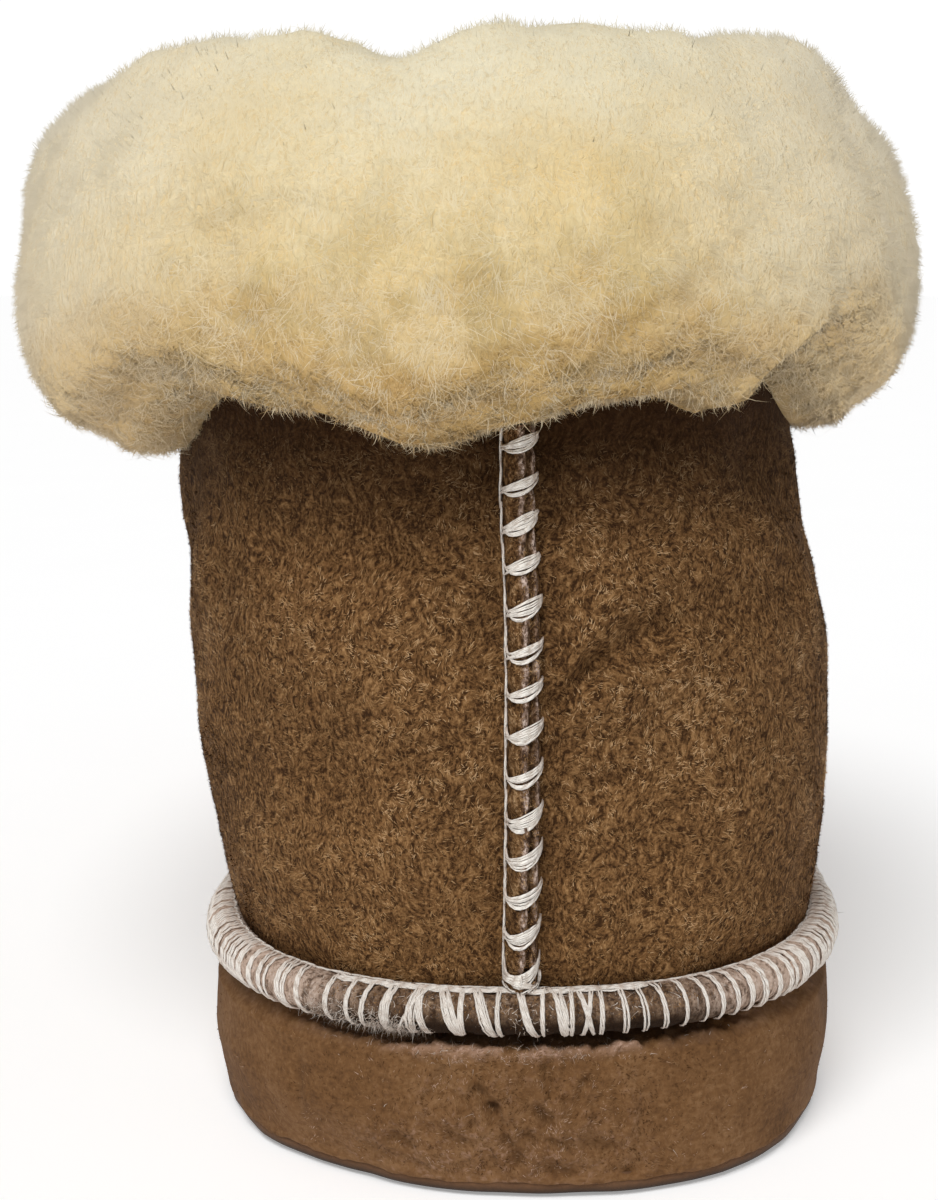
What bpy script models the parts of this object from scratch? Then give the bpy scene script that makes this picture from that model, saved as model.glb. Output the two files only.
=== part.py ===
"""A right sheepskin slipper: ankle high, with a turned-down wool cuff and overcast ribs at its seams.

The heel points to -Y, the toe to +Y and the outer side of the foot to +X. Lengths in the tables are
millimetres in the shoemaker's frame: along runs forward from the back of the sole, across runs to the
outer side and up from the floor. The last step stands the finished slipper on the origin.
Run it with: blender --background --python part.py
"""

import math
from collections import namedtuple

import bpy
from mathutils import Vector

MM = 0.001
FIT_GAP = 0.3  # between pieces that touch

# Sole
SOLE_LENGTH = 264.0
OUTSOLE_THICK = 2.6
HEEL_STACK = 18.0  # outsole and midsole together, under the heel
TOE_STACK = 14.0
STACK_FALL_START, STACK_FALL_LENGTH = 60.0, 120.0
TOE_SPRING = 7.0
SPRING_START = 198.0
ARCH_RISE = 1.3
ARCH_MIDDLE, ARCH_REACH = 118.0, 32.0
SIDE_BULGE = 0.4
EDGE_ROUND = 1.6

# Outline shared by the sole and by every ring of the upper
HEEL_ROUND = 42.0  # length over which the back closes
HEEL_POWER = 2.3
TOE_POWER = 2.15
BALL_START, BALL_LENGTH = 70.0, 120.0
WAIST_MIDDLE, WAIST_REACH = 102.0, 34.0
INNER_WAIST, OUTER_WAIST = 5.5, 1.5
TOE_SWING = 7.0
SWING_START, SWING_LENGTH = 120.0, 144.0

# Upper: 1.5 of skin and 5.5 of wool pressed flat on its inside
WALL = 7.0
SEGMENTS_AROUND = 60
STEPS_PER_RING = 2

# Seams
WELT_RADIUS = 2.75
WELT_INSET = 1.0
WELT_POINTS = 84
RIB_WIDTH = 5.4
RIB_PROUD = 2.9
RIB_ARC_POINTS = 6
HEEL_RIB_STEPS = 18
VAMP_RIB_STEPS = 46
VAMP_RIB_AT_WELT = 116.0
HEEL_RIB_FOOT_LEVEL, VAMP_RIB_FOOT_LEVEL = 1.3, 1.65  # just above the welt
VAMP_RIB_TOP_LEVEL = 6.0
VAMP_RIB_GAP = 0.6  # it crosses the hollow of the instep

# Cuff and footbed
CUFF_FOOT_ENDS, CUFF_FOOT_SIDES = 7.2, 6.85  # levels of the upper that its lower edge hangs to
CUFF_GAP = 0.4
HEEL_RIB_TOP_LEVEL = CUFF_FOOT_ENDS - 0.12
INNER_PILE, OUTER_PILE = 1.06, 0.94  # share of the pile's depth on each side of the cuff
FOOTBED_THICK, FOOTBED_ROUND, FOOTBED_GAP = 8.0, 2.0, 0.5

# A level of the upper, as a ring that lies nearly flat. heel and front are its ends along the foot,
# heel_z and front_z their heights, heel_half and ball_half its half widths, toe_round the length over
# which its front closes, lean its shift across, and follow how much it copies the sole's curve.
Ring = namedtuple("Ring", "heel heel_z front front_z heel_half ball_half toe_round lean follow")
UPPER_RINGS = (
    Ring(4.4, 18.5, 259.6, 21.5, 32.9, 43.6, 70, 0.5, 1.0),
    Ring(4.2, 23.0, 259.8, 26.0, 33.3, 44.0, 70, 0.4, 1.0),
    Ring(1.6, 30.5, 260.8, 36.0, 36.5, 46.8, 72, 0.0, 0.9),
    Ring(0.4, 41.0, 256.5, 46.0, 37.7, 46.0, 78, -0.3, 0.6),
    Ring(0.6, 51.5, 244.0, 55.5, 38.1, 42.6, 88, -0.9, 0.3),
    Ring(1.6, 61.0, 216.0, 64.0, 37.8, 39.4, 94, -1.6, 0.1),
    Ring(3.2, 69.5, 182.0, 72.5, 37.1, 37.1, 88, -2.7, 0.0),
    Ring(4.8, 78.0, 152.0, 82.0, 36.4, 36.4, 76, -3.8, 0.0),
    Ring(6.2, 88.0, 131.0, 93.0, 36.2, 36.2, 66, -4.9, 0.0),
    Ring(7.2, 99.0, 121.0, 104.5, 36.0, 36.0, 60, -5.7, 0.0),
    Ring(8.0, 110.0, 117.0, 115.0, 36.0, 36.0, 58, -6.2, 0.0),
)
TOP_LEVEL = len(UPPER_RINGS) - 1.0
SOLE_RING = Ring(0.0, 0.0, SOLE_LENGTH, 0.0, 37.1, 48.5, 76, 0.3, 1.0)

# The cuff's section. Rows on the hanging side say how far down the upper they sit, from 0 at its rim to
# 1 at the cuff's foot, and how far out they stand. Rows over the rim say how far up, and how far out.
# Its back lies on the upper, at the levels where the upper's own rings are.
Hang = namedtuple("Hang", "down out")
CUFF_HANGING = (Hang(0.0, 16.4), Hang(0.3, 18.2), Hang(0.6, 18.0), Hang(0.84, 14.6), Hang(0.97, 8.0))
Over = namedtuple("Over", "up out")
CUFF_OVER_RIM = (
    Over(0.8, -6.6),
    Over(5.0, -7.6),
    Over(9.6, -4.6),
    Over(12.4, 1.0),
    Over(10.8, 7.4),
    Over(5.6, 13.2),
)
CUFF_BACKING_LEVELS = [7.5, 8.0, 8.5, 9.0, 9.5, 10.0]

# name: (red, green, blue), roughness
FINISHES = {
    "suede_brown": ((0.155, 0.085, 0.042), 0.92),
    "suede_sole_wrap": ((0.190, 0.100, 0.055), 0.90),
    "wool_cream": ((0.800, 0.690, 0.450), 0.95),
    "rubber_dark_brown": ((0.050, 0.030, 0.020), 0.70),
}


def clear_scene():
    for obj in list(bpy.data.objects):
        bpy.data.objects.remove(obj)


def smooth_step(share):
    share = min(max(share, 0.0), 1.0)
    return share * share * (3 - 2 * share)


def bump(distance, reach):
    """1 at the middle, falling smoothly to 0 at the reach."""
    return smooth_step(1 - abs(distance) / reach)


def ring_at(level):
    """The ring at a level between the table's rows, on a smooth curve through them."""
    below = min(int(level), len(UPPER_RINGS) - 2)
    rows = [UPPER_RINGS[min(max(below + i, 0), len(UPPER_RINGS) - 1)] for i in (-1, 0, 1, 2)]
    t = level - below

    def through(before, a, b, after):
        start, end = (b - before) / 2, (after - a) / 2
        return a + t * (start + t * (3 * (b - a) - 2 * start - end + t * (2 * (a - b) + start + end)))

    return Ring(*[through(*column) for column in zip(*rows)])


def sole_floor(along):
    """Height of the sole's underside: flat at heel and ball, with an arch between them and a sprung toe."""
    spring = max(0.0, along - SPRING_START) / (SOLE_LENGTH - SPRING_START)
    return TOE_SPRING * spring**2 + ARCH_RISE * bump(along - ARCH_MIDDLE, ARCH_REACH)


def sole_stack(along):
    return HEEL_STACK + (TOE_STACK - HEEL_STACK) * smooth_step((along - STACK_FALL_START) / STACK_FALL_LENGTH)


def sole_top(along):
    return sole_floor(along) + sole_stack(along)


def closing(distance, length, power):
    """Share of the full width left this far past the start of a rounded end."""
    gone = min(max(distance / length, 0.0), 1.0)
    return (1 - gone**power) ** (1 / power)


def outline(ring, turn, inset=0.0):
    """(across, along) of a ring at an angle from its back, going round by the outer side."""
    heel, front = ring.heel + inset, ring.front - inset
    along = heel + (front - heel) * (1 - math.cos(turn)) / 2
    side = 1 if turn % (2 * math.pi) <= math.pi else -1
    widening = smooth_step((along - BALL_START) / BALL_LENGTH)
    waist = OUTER_WAIST if side > 0 else INNER_WAIST
    half = ring.heel_half + (ring.ball_half - ring.heel_half) * widening - inset
    half -= waist * bump(along - WAIST_MIDDLE, WAIST_REACH * 2) * ring.follow
    half *= closing(heel + HEEL_ROUND - along, HEEL_ROUND, HEEL_POWER)
    toe_round = ring.toe_round - inset / 2
    half *= closing(along - (front - toe_round), toe_round, TOE_POWER)
    swing = TOE_SWING * smooth_step((along - SWING_START) / SWING_LENGTH)
    return ring.lean - swing + side * half, along


def upper_point(level, turn):
    ring = ring_at(level)
    across, along = outline(ring, turn)
    share = (along - ring.heel) / (ring.front - ring.heel)
    heel_lift = ring.heel_z - ring.follow * sole_top(ring.heel)
    front_lift = ring.front_z - ring.follow * sole_top(ring.front)
    lift = heel_lift + (front_lift - heel_lift) * share
    return Vector((across, along, lift + ring.follow * sole_top(along)))


def upper_normal(level, turn):
    """Unit vector out of the upper."""
    low, high = max(level - 0.05, 0.0), min(level + 0.05, TOP_LEVEL)
    rise = upper_point(high, turn) - upper_point(low, turn)
    round_it = upper_point(level, turn + 0.02) - upper_point(level, turn - 0.02)
    return round_it.cross(rise).normalized()


def turn_at(level, along, side):
    """The angle at which a level's ring passes a place along the foot."""
    ring = ring_at(level)
    share = (along - ring.heel) / (ring.front - ring.heel)
    turn = math.acos(min(max(1 - 2 * share, -1.0), 1.0))
    return turn if side > 0 else 2 * math.pi - turn


def around(count):
    return [2 * math.pi * i / count for i in range(count)]


def material(name):
    found = bpy.data.materials.get(name)
    if found:
        return found
    colour, roughness = FINISHES[name]
    made = bpy.data.materials.new(name)
    made.use_nodes = True
    shader = made.node_tree.nodes["Principled BSDF"]
    shader.inputs["Base Color"].default_value = (*colour, 1)
    shader.inputs["Roughness"].default_value = roughness
    shader.inputs["Metallic"].default_value = 0.0
    return made


def add_mesh(name, points, faces, finish, collection):
    mesh = bpy.data.meshes.new(name)
    mesh.from_pydata([Vector(p) * MM for p in points], [], faces)
    mesh.shade_smooth()
    mesh.materials.append(material(finish))
    obj = bpy.data.objects.new(name, mesh)
    collection.objects.link(obj)
    return obj


def loft(rows, close_across):
    """Points and faces of a skin over rows that each hold the same number of points."""
    count = len(rows[0])
    points = [p for row in rows for p in row]
    last = count if close_across else count - 1
    faces = []
    for r in range(len(rows) - 1):
        for c in range(last):
            here, beside = r * count + c, r * count + (c + 1) % count
            faces.append((here, beside, beside + count, here + count))
    return points, faces


def ladder(count, first, facing_up):
    """Faces that close a ring of points whose halves mirror each other, as rungs across it."""
    half = count // 2
    faces = [(first, first + 1, first + count - 1)]
    for i in range(1, half - 1):
        faces.append((first + i, first + i + 1, first + count - i - 1, first + count - i))
    faces.append((first + half - 1, first + half, first + half + 1))
    return faces if facing_up else [face[::-1] for face in faces]


def make_slab(name, ring, layers, finish, collection):
    """A plate with the outline of a ring. Each layer is its inset and a function for its height."""
    turns = around(SEGMENTS_AROUND)
    rows = []
    for inset, height in layers:
        flat = [outline(ring, turn, inset) for turn in turns]
        rows.append([(across, along, height(along)) for across, along in flat])
    points, faces = loft(rows, close_across=True)
    faces += ladder(SEGMENTS_AROUND, 0, facing_up=False)
    faces += ladder(SEGMENTS_AROUND, (len(rows) - 1) * SEGMENTS_AROUND, facing_up=True)
    return add_mesh(name, points, faces, finish, collection)


def make_outsole(collection):
    def over_floor(lift):
        return lambda along: sole_floor(along) + lift

    layers = ((2.2, over_floor(0.0)), (1.0, over_floor(0.7)), (0.7, over_floor(OUTSOLE_THICK)))
    return make_slab("outsole", SOLE_RING, layers, "rubber_dark_brown", collection)


def make_midsole(collection):
    """The foam wedge in its suede wrap."""
    foot = OUTSOLE_THICK + FIT_GAP

    def height(share):
        return lambda along: sole_floor(along) + foot + share * (sole_stack(along) - foot)

    layers = (
        (0.9, height(0.0)),
        (0.2, height(0.12)),
        (-SIDE_BULGE, height(0.5)),
        (-0.1, height(0.86)),
        (EDGE_ROUND, height(1.0)),
    )
    return make_slab("midsole", SOLE_RING, layers, "suede_sole_wrap", collection)


def make_footbed(collection):
    inset = WALL + FOOTBED_GAP
    ring = UPPER_RINGS[0]

    def height(lift):
        return lambda along: sole_top(along) + lift

    layers = (
        (inset, height(FIT_GAP)),
        (inset, height(FOOTBED_THICK - FOOTBED_ROUND)),
        (inset + FOOTBED_ROUND, height(FOOTBED_THICK)),
    )
    return make_slab("footbed", ring, layers, "wool_cream", collection)


def make_upper(collection):
    levels = [i / STEPS_PER_RING for i in range(int(TOP_LEVEL) * STEPS_PER_RING + 1)]
    turns = around(SEGMENTS_AROUND)
    rows = [[upper_point(level, turn) for turn in turns] for level in levels]
    points, faces = loft(rows, close_across=True)
    upper = add_mesh("upper", points, faces, "suede_brown", collection)
    wall = upper.modifiers.new("wall", "SOLIDIFY")
    wall.thickness = WALL * MM
    wall.offset = -1
    return upper


def make_welt(collection):
    """The rolled edge that joins the upper to the sole's wrap, all the way round."""
    curve = bpy.data.curves.new("welt", "CURVE")
    curve.dimensions = "3D"
    curve.bevel_depth = WELT_RADIUS * MM
    curve.bevel_resolution = 2
    spline = curve.splines.new("POLY")
    spline.points.add(WELT_POINTS - 1)
    spline.use_cyclic_u = True
    for point, turn in zip(spline.points, around(WELT_POINTS)):
        across, along = outline(SOLE_RING, turn, WELT_INSET)
        up = sole_top(along) + FIT_GAP + WELT_RADIUS
        point.co = (across * MM, along * MM, up * MM, 1)
    curve.materials.append(material("suede_brown"))
    welt = bpy.data.objects.new("welt", curve)
    collection.objects.link(welt)
    return welt


def make_rib(name, track, gap, collection):
    """A half-round rib along places on the upper, each a level and an angle."""
    places = [upper_point(*place) for place in track]
    rows = []
    for i, place in enumerate(track):
        ahead, behind = places[min(i + 1, len(track) - 1)], places[max(i - 1, 0)]
        out = upper_normal(*place)
        beside = out.cross(ahead - behind).normalized()
        middle = places[i] + out * gap
        row = []
        for k in range(RIB_ARC_POINTS + 1):
            angle = math.pi * k / RIB_ARC_POINTS
            aside, proud = math.cos(angle) * RIB_WIDTH / 2, math.sin(angle) * RIB_PROUD
            row.append(middle + beside * aside + out * proud)
        rows.append(row)
    points, faces = loft(rows, close_across=True)
    count = len(rows[0])
    faces.append(tuple(range(count))[::-1])
    faces.append(tuple(range(len(points) - count, len(points))))
    return add_mesh(name, points, faces, "suede_brown", collection)


def heel_rib_track():
    """Straight up the back of the heel, though the ankle leans away from it."""
    track = []
    for i in range(HEEL_RIB_STEPS + 1):
        level = HEEL_RIB_FOOT_LEVEL + (HEEL_RIB_TOP_LEVEL - HEEL_RIB_FOOT_LEVEL) * i / HEEL_RIB_STEPS
        low, high = -0.5, 0.5
        for _ in range(30):
            middle = (low + high) / 2
            if upper_point(level, middle).x < 0:
                low = middle
            else:
                high = middle
        track.append((level, low))
    return track


def vamp_rib_track():
    """From the welt at the waist, over the instep and down to the welt on the other side."""
    front = ring_at(VAMP_RIB_TOP_LEVEL).front
    track = []
    for i in range(VAMP_RIB_STEPS + 1):
        t = 2 * i / VAMP_RIB_STEPS - 1
        level = VAMP_RIB_FOOT_LEVEL + (VAMP_RIB_TOP_LEVEL - VAMP_RIB_FOOT_LEVEL) * (1 - abs(t) ** 2.2)
        along = VAMP_RIB_AT_WELT + (front - VAMP_RIB_AT_WELT) * (1 - t * t) ** 0.9
        track.append((level, turn_at(level, along, side=-1 if t > 0 else 1)))
    return track


def cuff_row(turn):
    """The cuff's section at one angle, from inside the mouth, over the rim, down and back up the upper."""
    side = math.sin(turn)
    pile = 1 + (INNER_PILE - 1) * max(-side, 0) + (OUTER_PILE - 1) * max(side, 0)
    rim, out = upper_point(TOP_LEVEL, turn), upper_normal(TOP_LEVEL, turn)
    out = Vector((out.x, out.y, 0)).normalized()
    foot = CUFF_FOOT_ENDS + (CUFF_FOOT_SIDES - CUFF_FOOT_ENDS) * side**2
    row = []
    for up, away in CUFF_OVER_RIM:
        away = away * pile if away > 0 else away
        row.append(rim + out * away + Vector((0, 0, up)))
    for down, away in CUFF_HANGING:
        level = TOP_LEVEL + (foot - TOP_LEVEL) * down
        row.append(upper_point(level, turn) + upper_normal(level, turn) * away * pile)
    for level in [foot] + CUFF_BACKING_LEVELS:
        row.append(upper_point(level, turn) + upper_normal(level, turn) * CUFF_GAP)
    row[-1] += Vector((0, 0, CUFF_GAP))
    return row


def make_cuff(collection):
    rows = [cuff_row(turn) for turn in around(SEGMENTS_AROUND)]
    points, faces = loft(rows + rows[:1], close_across=True)
    count = len(points) - len(rows[0])
    faces = [tuple(corner % count for corner in face) for face in faces]
    return add_mesh("cuff", points[:count], faces, "wool_cream", collection)


def stand_on_origin(objects):
    """Moves the pieces so that the bottom centre of their common box is the origin."""
    bpy.context.view_layer.update()
    corners = [obj.matrix_world @ Vector(corner) for obj in objects for corner in obj.bound_box]
    low = Vector([min(c[i] for c in corners) for i in range(3)])
    high = Vector([max(c[i] for c in corners) for i in range(3)])
    for obj in objects:
        obj.location -= Vector(((low.x + high.x) / 2, (low.y + high.y) / 2, low.z))


def main():
    clear_scene()
    slipper = bpy.data.collections.new("sheepskin_slipper")
    bpy.context.scene.collection.children.link(slipper)
    pieces = [
        make_outsole(slipper),
        make_midsole(slipper),
        make_footbed(slipper),
        make_upper(slipper),
        make_welt(slipper),
        make_rib("heel_rib", heel_rib_track(), FIT_GAP, slipper),
        make_rib("vamp_rib", vamp_rib_track(), VAMP_RIB_GAP, slipper),
        make_cuff(slipper),
    ]
    stand_on_origin(pieces)


main()
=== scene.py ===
"""Finish of the sheepskin slipper: its suede, wool, thread and sole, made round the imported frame.

Lengths are millimetres in the shoemaker's frame, in which the back of the sole is the start of along,
across runs to the outer side of the foot and up is the height over the floor. build() puts them in the
frame's metres.
"""

import math
from collections import namedtuple

import bpy
import numpy as np
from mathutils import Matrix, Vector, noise
from mathutils.kdtree import KDTree


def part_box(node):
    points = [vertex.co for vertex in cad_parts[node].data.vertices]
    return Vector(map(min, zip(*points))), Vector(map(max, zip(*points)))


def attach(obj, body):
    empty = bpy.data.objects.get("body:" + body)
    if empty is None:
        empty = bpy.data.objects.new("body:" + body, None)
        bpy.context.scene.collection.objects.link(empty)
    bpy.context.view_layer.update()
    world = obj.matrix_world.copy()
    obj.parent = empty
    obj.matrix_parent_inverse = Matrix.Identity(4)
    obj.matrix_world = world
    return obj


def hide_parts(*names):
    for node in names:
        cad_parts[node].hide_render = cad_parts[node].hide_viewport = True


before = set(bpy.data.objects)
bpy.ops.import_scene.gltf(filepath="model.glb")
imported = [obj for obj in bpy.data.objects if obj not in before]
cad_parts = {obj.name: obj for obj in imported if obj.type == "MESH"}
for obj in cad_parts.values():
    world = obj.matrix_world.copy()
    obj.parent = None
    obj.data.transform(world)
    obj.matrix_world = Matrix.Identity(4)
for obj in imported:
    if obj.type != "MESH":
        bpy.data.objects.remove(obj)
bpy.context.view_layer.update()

MM = 0.001
FIT_GAP = 0.3

# ---------------------------------------------------------------- the last's shape, as in the frame

SOLE_LENGTH = 264.0
OUTSOLE_THICK = 2.6
HEEL_STACK, TOE_STACK = 18.0, 14.0
STACK_FALL_START, STACK_FALL_LENGTH = 60.0, 120.0
TOE_SPRING, SPRING_START = 7.0, 198.0
ARCH_RISE, ARCH_MIDDLE, ARCH_REACH = 1.3, 118.0, 32.0
SIDE_BULGE = 0.4
HEEL_ROUND, HEEL_POWER, TOE_POWER = 42.0, 2.3, 2.15
BALL_START, BALL_LENGTH = 70.0, 120.0
WAIST_MIDDLE, WAIST_REACH = 102.0, 34.0
INNER_WAIST, OUTER_WAIST = 5.5, 1.5
TOE_SWING, SWING_START, SWING_LENGTH = 7.0, 120.0, 144.0
WALL, SKIN_THICK = 7.0, 1.6
WELT_RADIUS, WELT_INSET = 2.75, 1.0
RIB_HALF, RIB_SHIFT, RIB_TALL = 2.05, 0.4, 2.45
FOOTBED_THICK, FOOTBED_ROUND, FOOTBED_GAP = 8.0, 2.0, 0.5
CUFF_FOOT_ENDS, CUFF_FOOT_SIDES = 7.2, 6.85
CUFF_GAP = 0.4
INNER_PILE, OUTER_PILE = 1.06, 0.94
HEEL_RIB_FOOT_LEVEL, VAMP_RIB_FOOT_LEVEL = 1.3, 1.65
VAMP_RIB_TOP_LEVEL, VAMP_RIB_AT_WELT = 6.0, 116.0

Ring = namedtuple("Ring", "heel heel_z front front_z heel_half ball_half toe_round lean follow")
UPPER_RINGS = np.array((
    Ring(4.4, 18.5, 259.6, 21.5, 32.9, 43.6, 70, 0.5, 1.0),
    Ring(4.2, 23.0, 259.8, 26.0, 33.3, 44.0, 70, 0.4, 1.0),
    Ring(1.6, 30.5, 260.8, 36.0, 36.5, 46.8, 72, 0.0, 0.9),
    Ring(0.4, 41.0, 256.5, 46.0, 37.7, 46.0, 78, -0.3, 0.6),
    Ring(0.6, 51.5, 244.0, 55.5, 38.1, 42.6, 88, -0.9, 0.3),
    Ring(1.6, 61.0, 216.0, 64.0, 37.8, 39.4, 94, -1.6, 0.1),
    Ring(3.2, 69.5, 182.0, 72.5, 37.1, 37.1, 88, -2.7, 0.0),
    Ring(4.8, 78.0, 152.0, 82.0, 36.4, 36.4, 76, -3.8, 0.0),
    Ring(6.2, 88.0, 131.0, 93.0, 36.2, 36.2, 66, -4.9, 0.0),
    Ring(7.2, 99.0, 121.0, 104.5, 36.0, 36.0, 60, -5.7, 0.0),
    Ring(8.0, 110.0, 117.0, 115.0, 36.0, 36.0, 58, -6.2, 0.0),
))
TOP_LEVEL = len(UPPER_RINGS) - 1
SOLE_RING = Ring(0.0, 0.0, SOLE_LENGTH, 0.0, 37.1, 48.5, 76, 0.3, 1.0)

Hang = namedtuple("Hang", "down out")
CUFF_HANGING = (Hang(0.97, 8.0), Hang(0.84, 14.6), Hang(0.6, 18.0), Hang(0.3, 18.2), Hang(0.0, 16.4))
Over = namedtuple("Over", "up out")
CUFF_OVER_RIM = (
    Over(5.6, 13.2), Over(10.8, 7.4), Over(12.4, 1.0), Over(9.6, -4.6), Over(5.0, -7.6), Over(0.8, -6.6),
)
CUFF_BACKING_LEVELS = (10.0, 9.5, 9.0, 8.5, 8.0, 7.5)

# The frame's own boxes say where the shoemaker's frame stands in it.
RIB_BOX, MIDSOLE_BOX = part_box("heel_rib"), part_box("midsole")
ORIGIN = np.array((
    (RIB_BOX[0].x + RIB_BOX[1].x) / 2 / MM,
    MIDSOLE_BOX[0].y / MM + SIDE_BULGE,
    0.0,
))


def smooth_step(share):
    share = np.clip(share, 0.0, 1.0)
    return share * share * (3 - 2 * share)


def bump(distance, reach):
    """1 at the middle, falling smoothly to 0 at the reach."""
    return smooth_step(1 - np.abs(distance) / reach)


def bell(distance):
    """1 at the middle, falling off in a soft bell. distance is in shares of its reach."""
    return np.exp(-(distance**2))


def unit(vectors):
    return vectors / np.maximum(np.linalg.norm(vectors, axis=-1, keepdims=True), 1e-9)


def on_curve(a, b, start, end, t):
    """Places on a smooth curve from a to b. start and end are its slopes there, and t runs from 0 to 1."""
    return a + t * (start + t * (3 * (b - a) - 2 * start - end + t * (2 * (a - b) + start + end)))


def ring_at(level):
    """The ring at each level, on a smooth curve through the table's rows."""
    level = np.asarray(level, float)
    below = np.clip(level.astype(int), 0, TOP_LEVEL - 1)
    before, a, b, after = [UPPER_RINGS[np.clip(below + i, 0, TOP_LEVEL)] for i in (-1, 0, 1, 2)]
    t = (level - below)[..., None]
    rows = on_curve(a, b, (b - before) / 2, (after - a) / 2, t)
    return Ring(*np.moveaxis(rows, -1, 0))


def sole_floor(along):
    spring = np.maximum(0.0, along - SPRING_START) / (SOLE_LENGTH - SPRING_START)
    return TOE_SPRING * spring**2 + ARCH_RISE * bump(along - ARCH_MIDDLE, ARCH_REACH)


def sole_stack(along):
    return HEEL_STACK + (TOE_STACK - HEEL_STACK) * smooth_step((along - STACK_FALL_START) / STACK_FALL_LENGTH)


def sole_top(along):
    return sole_floor(along) + sole_stack(along)


def closing(distance, length, power):
    """Share of the full width left this far past the start of a rounded end."""
    gone = np.clip(distance / length, 0.0, 1.0)
    return (1 - gone**power) ** (1 / power)


def outline(ring, turn, inset=0.0):
    """(across, along) of a ring at an angle from its back, going round by the outer side."""
    heel, front = ring.heel + inset, ring.front - inset
    along = heel + (front - heel) * (1 - np.cos(turn)) / 2
    side = np.where(np.mod(turn, 2 * math.pi) <= math.pi, 1.0, -1.0)
    widening = smooth_step((along - BALL_START) / BALL_LENGTH)
    waist = np.where(side > 0, OUTER_WAIST, INNER_WAIST)
    half = ring.heel_half + (ring.ball_half - ring.heel_half) * widening - inset
    half = half - waist * bump(along - WAIST_MIDDLE, WAIST_REACH * 2) * ring.follow
    half = half * closing(heel + HEEL_ROUND - along, HEEL_ROUND, HEEL_POWER)
    toe_round = ring.toe_round - inset / 2
    half = half * closing(along - (front - toe_round), toe_round, TOE_POWER)
    swing = TOE_SWING * smooth_step((along - SWING_START) / SWING_LENGTH)
    return ring.lean - swing + side * half, along


def upper_point(level, turn):
    """Points of the upper's outside. level and turn are arrays that go together."""
    level, turn = np.broadcast_arrays(np.asarray(level, float), np.asarray(turn, float))
    ring = ring_at(level)
    across, along = outline(ring, turn)
    share = (along - ring.heel) / (ring.front - ring.heel)
    heel_lift = ring.heel_z - ring.follow * sole_top(ring.heel)
    front_lift = ring.front_z - ring.follow * sole_top(ring.front)
    up = heel_lift + (front_lift - heel_lift) * share + ring.follow * sole_top(along)
    return np.stack((across, along, up), axis=-1)


def upper_normal(level, turn):
    low, high = np.maximum(level - 0.05, 0.0), np.minimum(level + 0.05, TOP_LEVEL)
    rise = upper_point(high, turn) - upper_point(low, turn)
    return unit(np.cross(upper_point(level, turn + 0.02) - upper_point(level, turn - 0.02), rise))


def around(count):
    return np.arange(count) * 2 * math.pi / count


def degrees_round(turn):
    """An angle round the foot in degrees, from -180 to 180, with 0 at the back seam."""
    return (np.degrees(turn) + 180) % 360 - 180


def closer_at_heel(turns, share=0.5):
    """The same round of angles, standing closer together at the back."""
    return turns - share * np.sin(turns)


# ---------------------------------------------------------------- building meshes


def ripple(points, size, shift=0.0):
    """Smooth noise, about -1 to 1, over points in millimetres, with lumps of about the given size."""
    places = (points.reshape(-1, 3) / size + shift).tolist()
    return np.array([noise.noise(place) for place in places]).reshape(points.shape[:-1])


def ripple_vector(points, size, shift=0.0):
    return np.stack([ripple(points, size, shift + 17.3 * i) for i in range(3)], axis=-1)


class Skin:
    """A surface in rows and columns of points, which can be moved along its normals and planted."""

    def __init__(self, points, closed_rows=False, closed_columns=True):
        self.points, self.closed_rows, self.closed_columns = points, closed_rows, closed_columns
        self.rises = unit(self._slope(0, closed_rows))
        self.normals = unit(np.cross(self._slope(1, closed_columns), self.rises))

    def _slope(self, axis, closed):
        if closed:
            return np.roll(self.points, -1, axis) - np.roll(self.points, 1, axis)
        return np.gradient(self.points, axis=axis)

    def moved(self, amount):
        amount = np.asarray(amount)[..., None]
        return Skin(self.points + self.normals * amount, self.closed_rows, self.closed_columns)

    def part(self, rows):
        """Some of the rows, with the normals that they have in the whole."""
        shown = Skin(self.points[rows], False, self.closed_columns)
        shown.normals, shown.rises = self.normals[rows], self.rises[rows]
        return shown

    def cells(self):
        """Corner numbers of every face."""
        rows, columns = self.points.shape[:2]
        r = np.arange(rows if self.closed_rows else rows - 1)[:, None]
        c = np.arange(columns if self.closed_columns else columns - 1)[None, :]
        r_next, c_next = (r + 1) % rows, (c + 1) % columns
        corners = (r * columns + c, r * columns + c_next, r_next * columns + c_next, r_next * columns + c)
        return np.stack(np.broadcast_arrays(*corners), axis=-1).reshape(-1, 4)

    def scatter(self, count, rng, weigh=None):
        """Random places: points, normals and ways along the rows. weigh gives each cell's share."""
        cells = self.cells()
        corners = self.points.reshape(-1, 3)[cells]
        normals = self.normals.reshape(-1, 3)[cells]
        rises = self.rises.reshape(-1, 3)[cells]
        area = np.linalg.norm(np.cross(corners[:, 2] - corners[:, 0], corners[:, 3] - corners[:, 1]), axis=1)
        if weigh is not None:
            area = area * weigh(corners.mean(axis=1), unit(normals.mean(axis=1)))
        chosen = rng.choice(len(cells), count, p=area / area.sum())
        u, v = rng.random((count, 1)), rng.random((count, 1))
        shares = ((1 - u) * (1 - v), u * (1 - v), u * v, (1 - u) * v)
        places, outs, ways = (
            sum(share * column[chosen, i] for i, share in enumerate(shares))
            for column in (corners, normals, rises)
        )
        return places, unit(outs), unit(ways)


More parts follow.
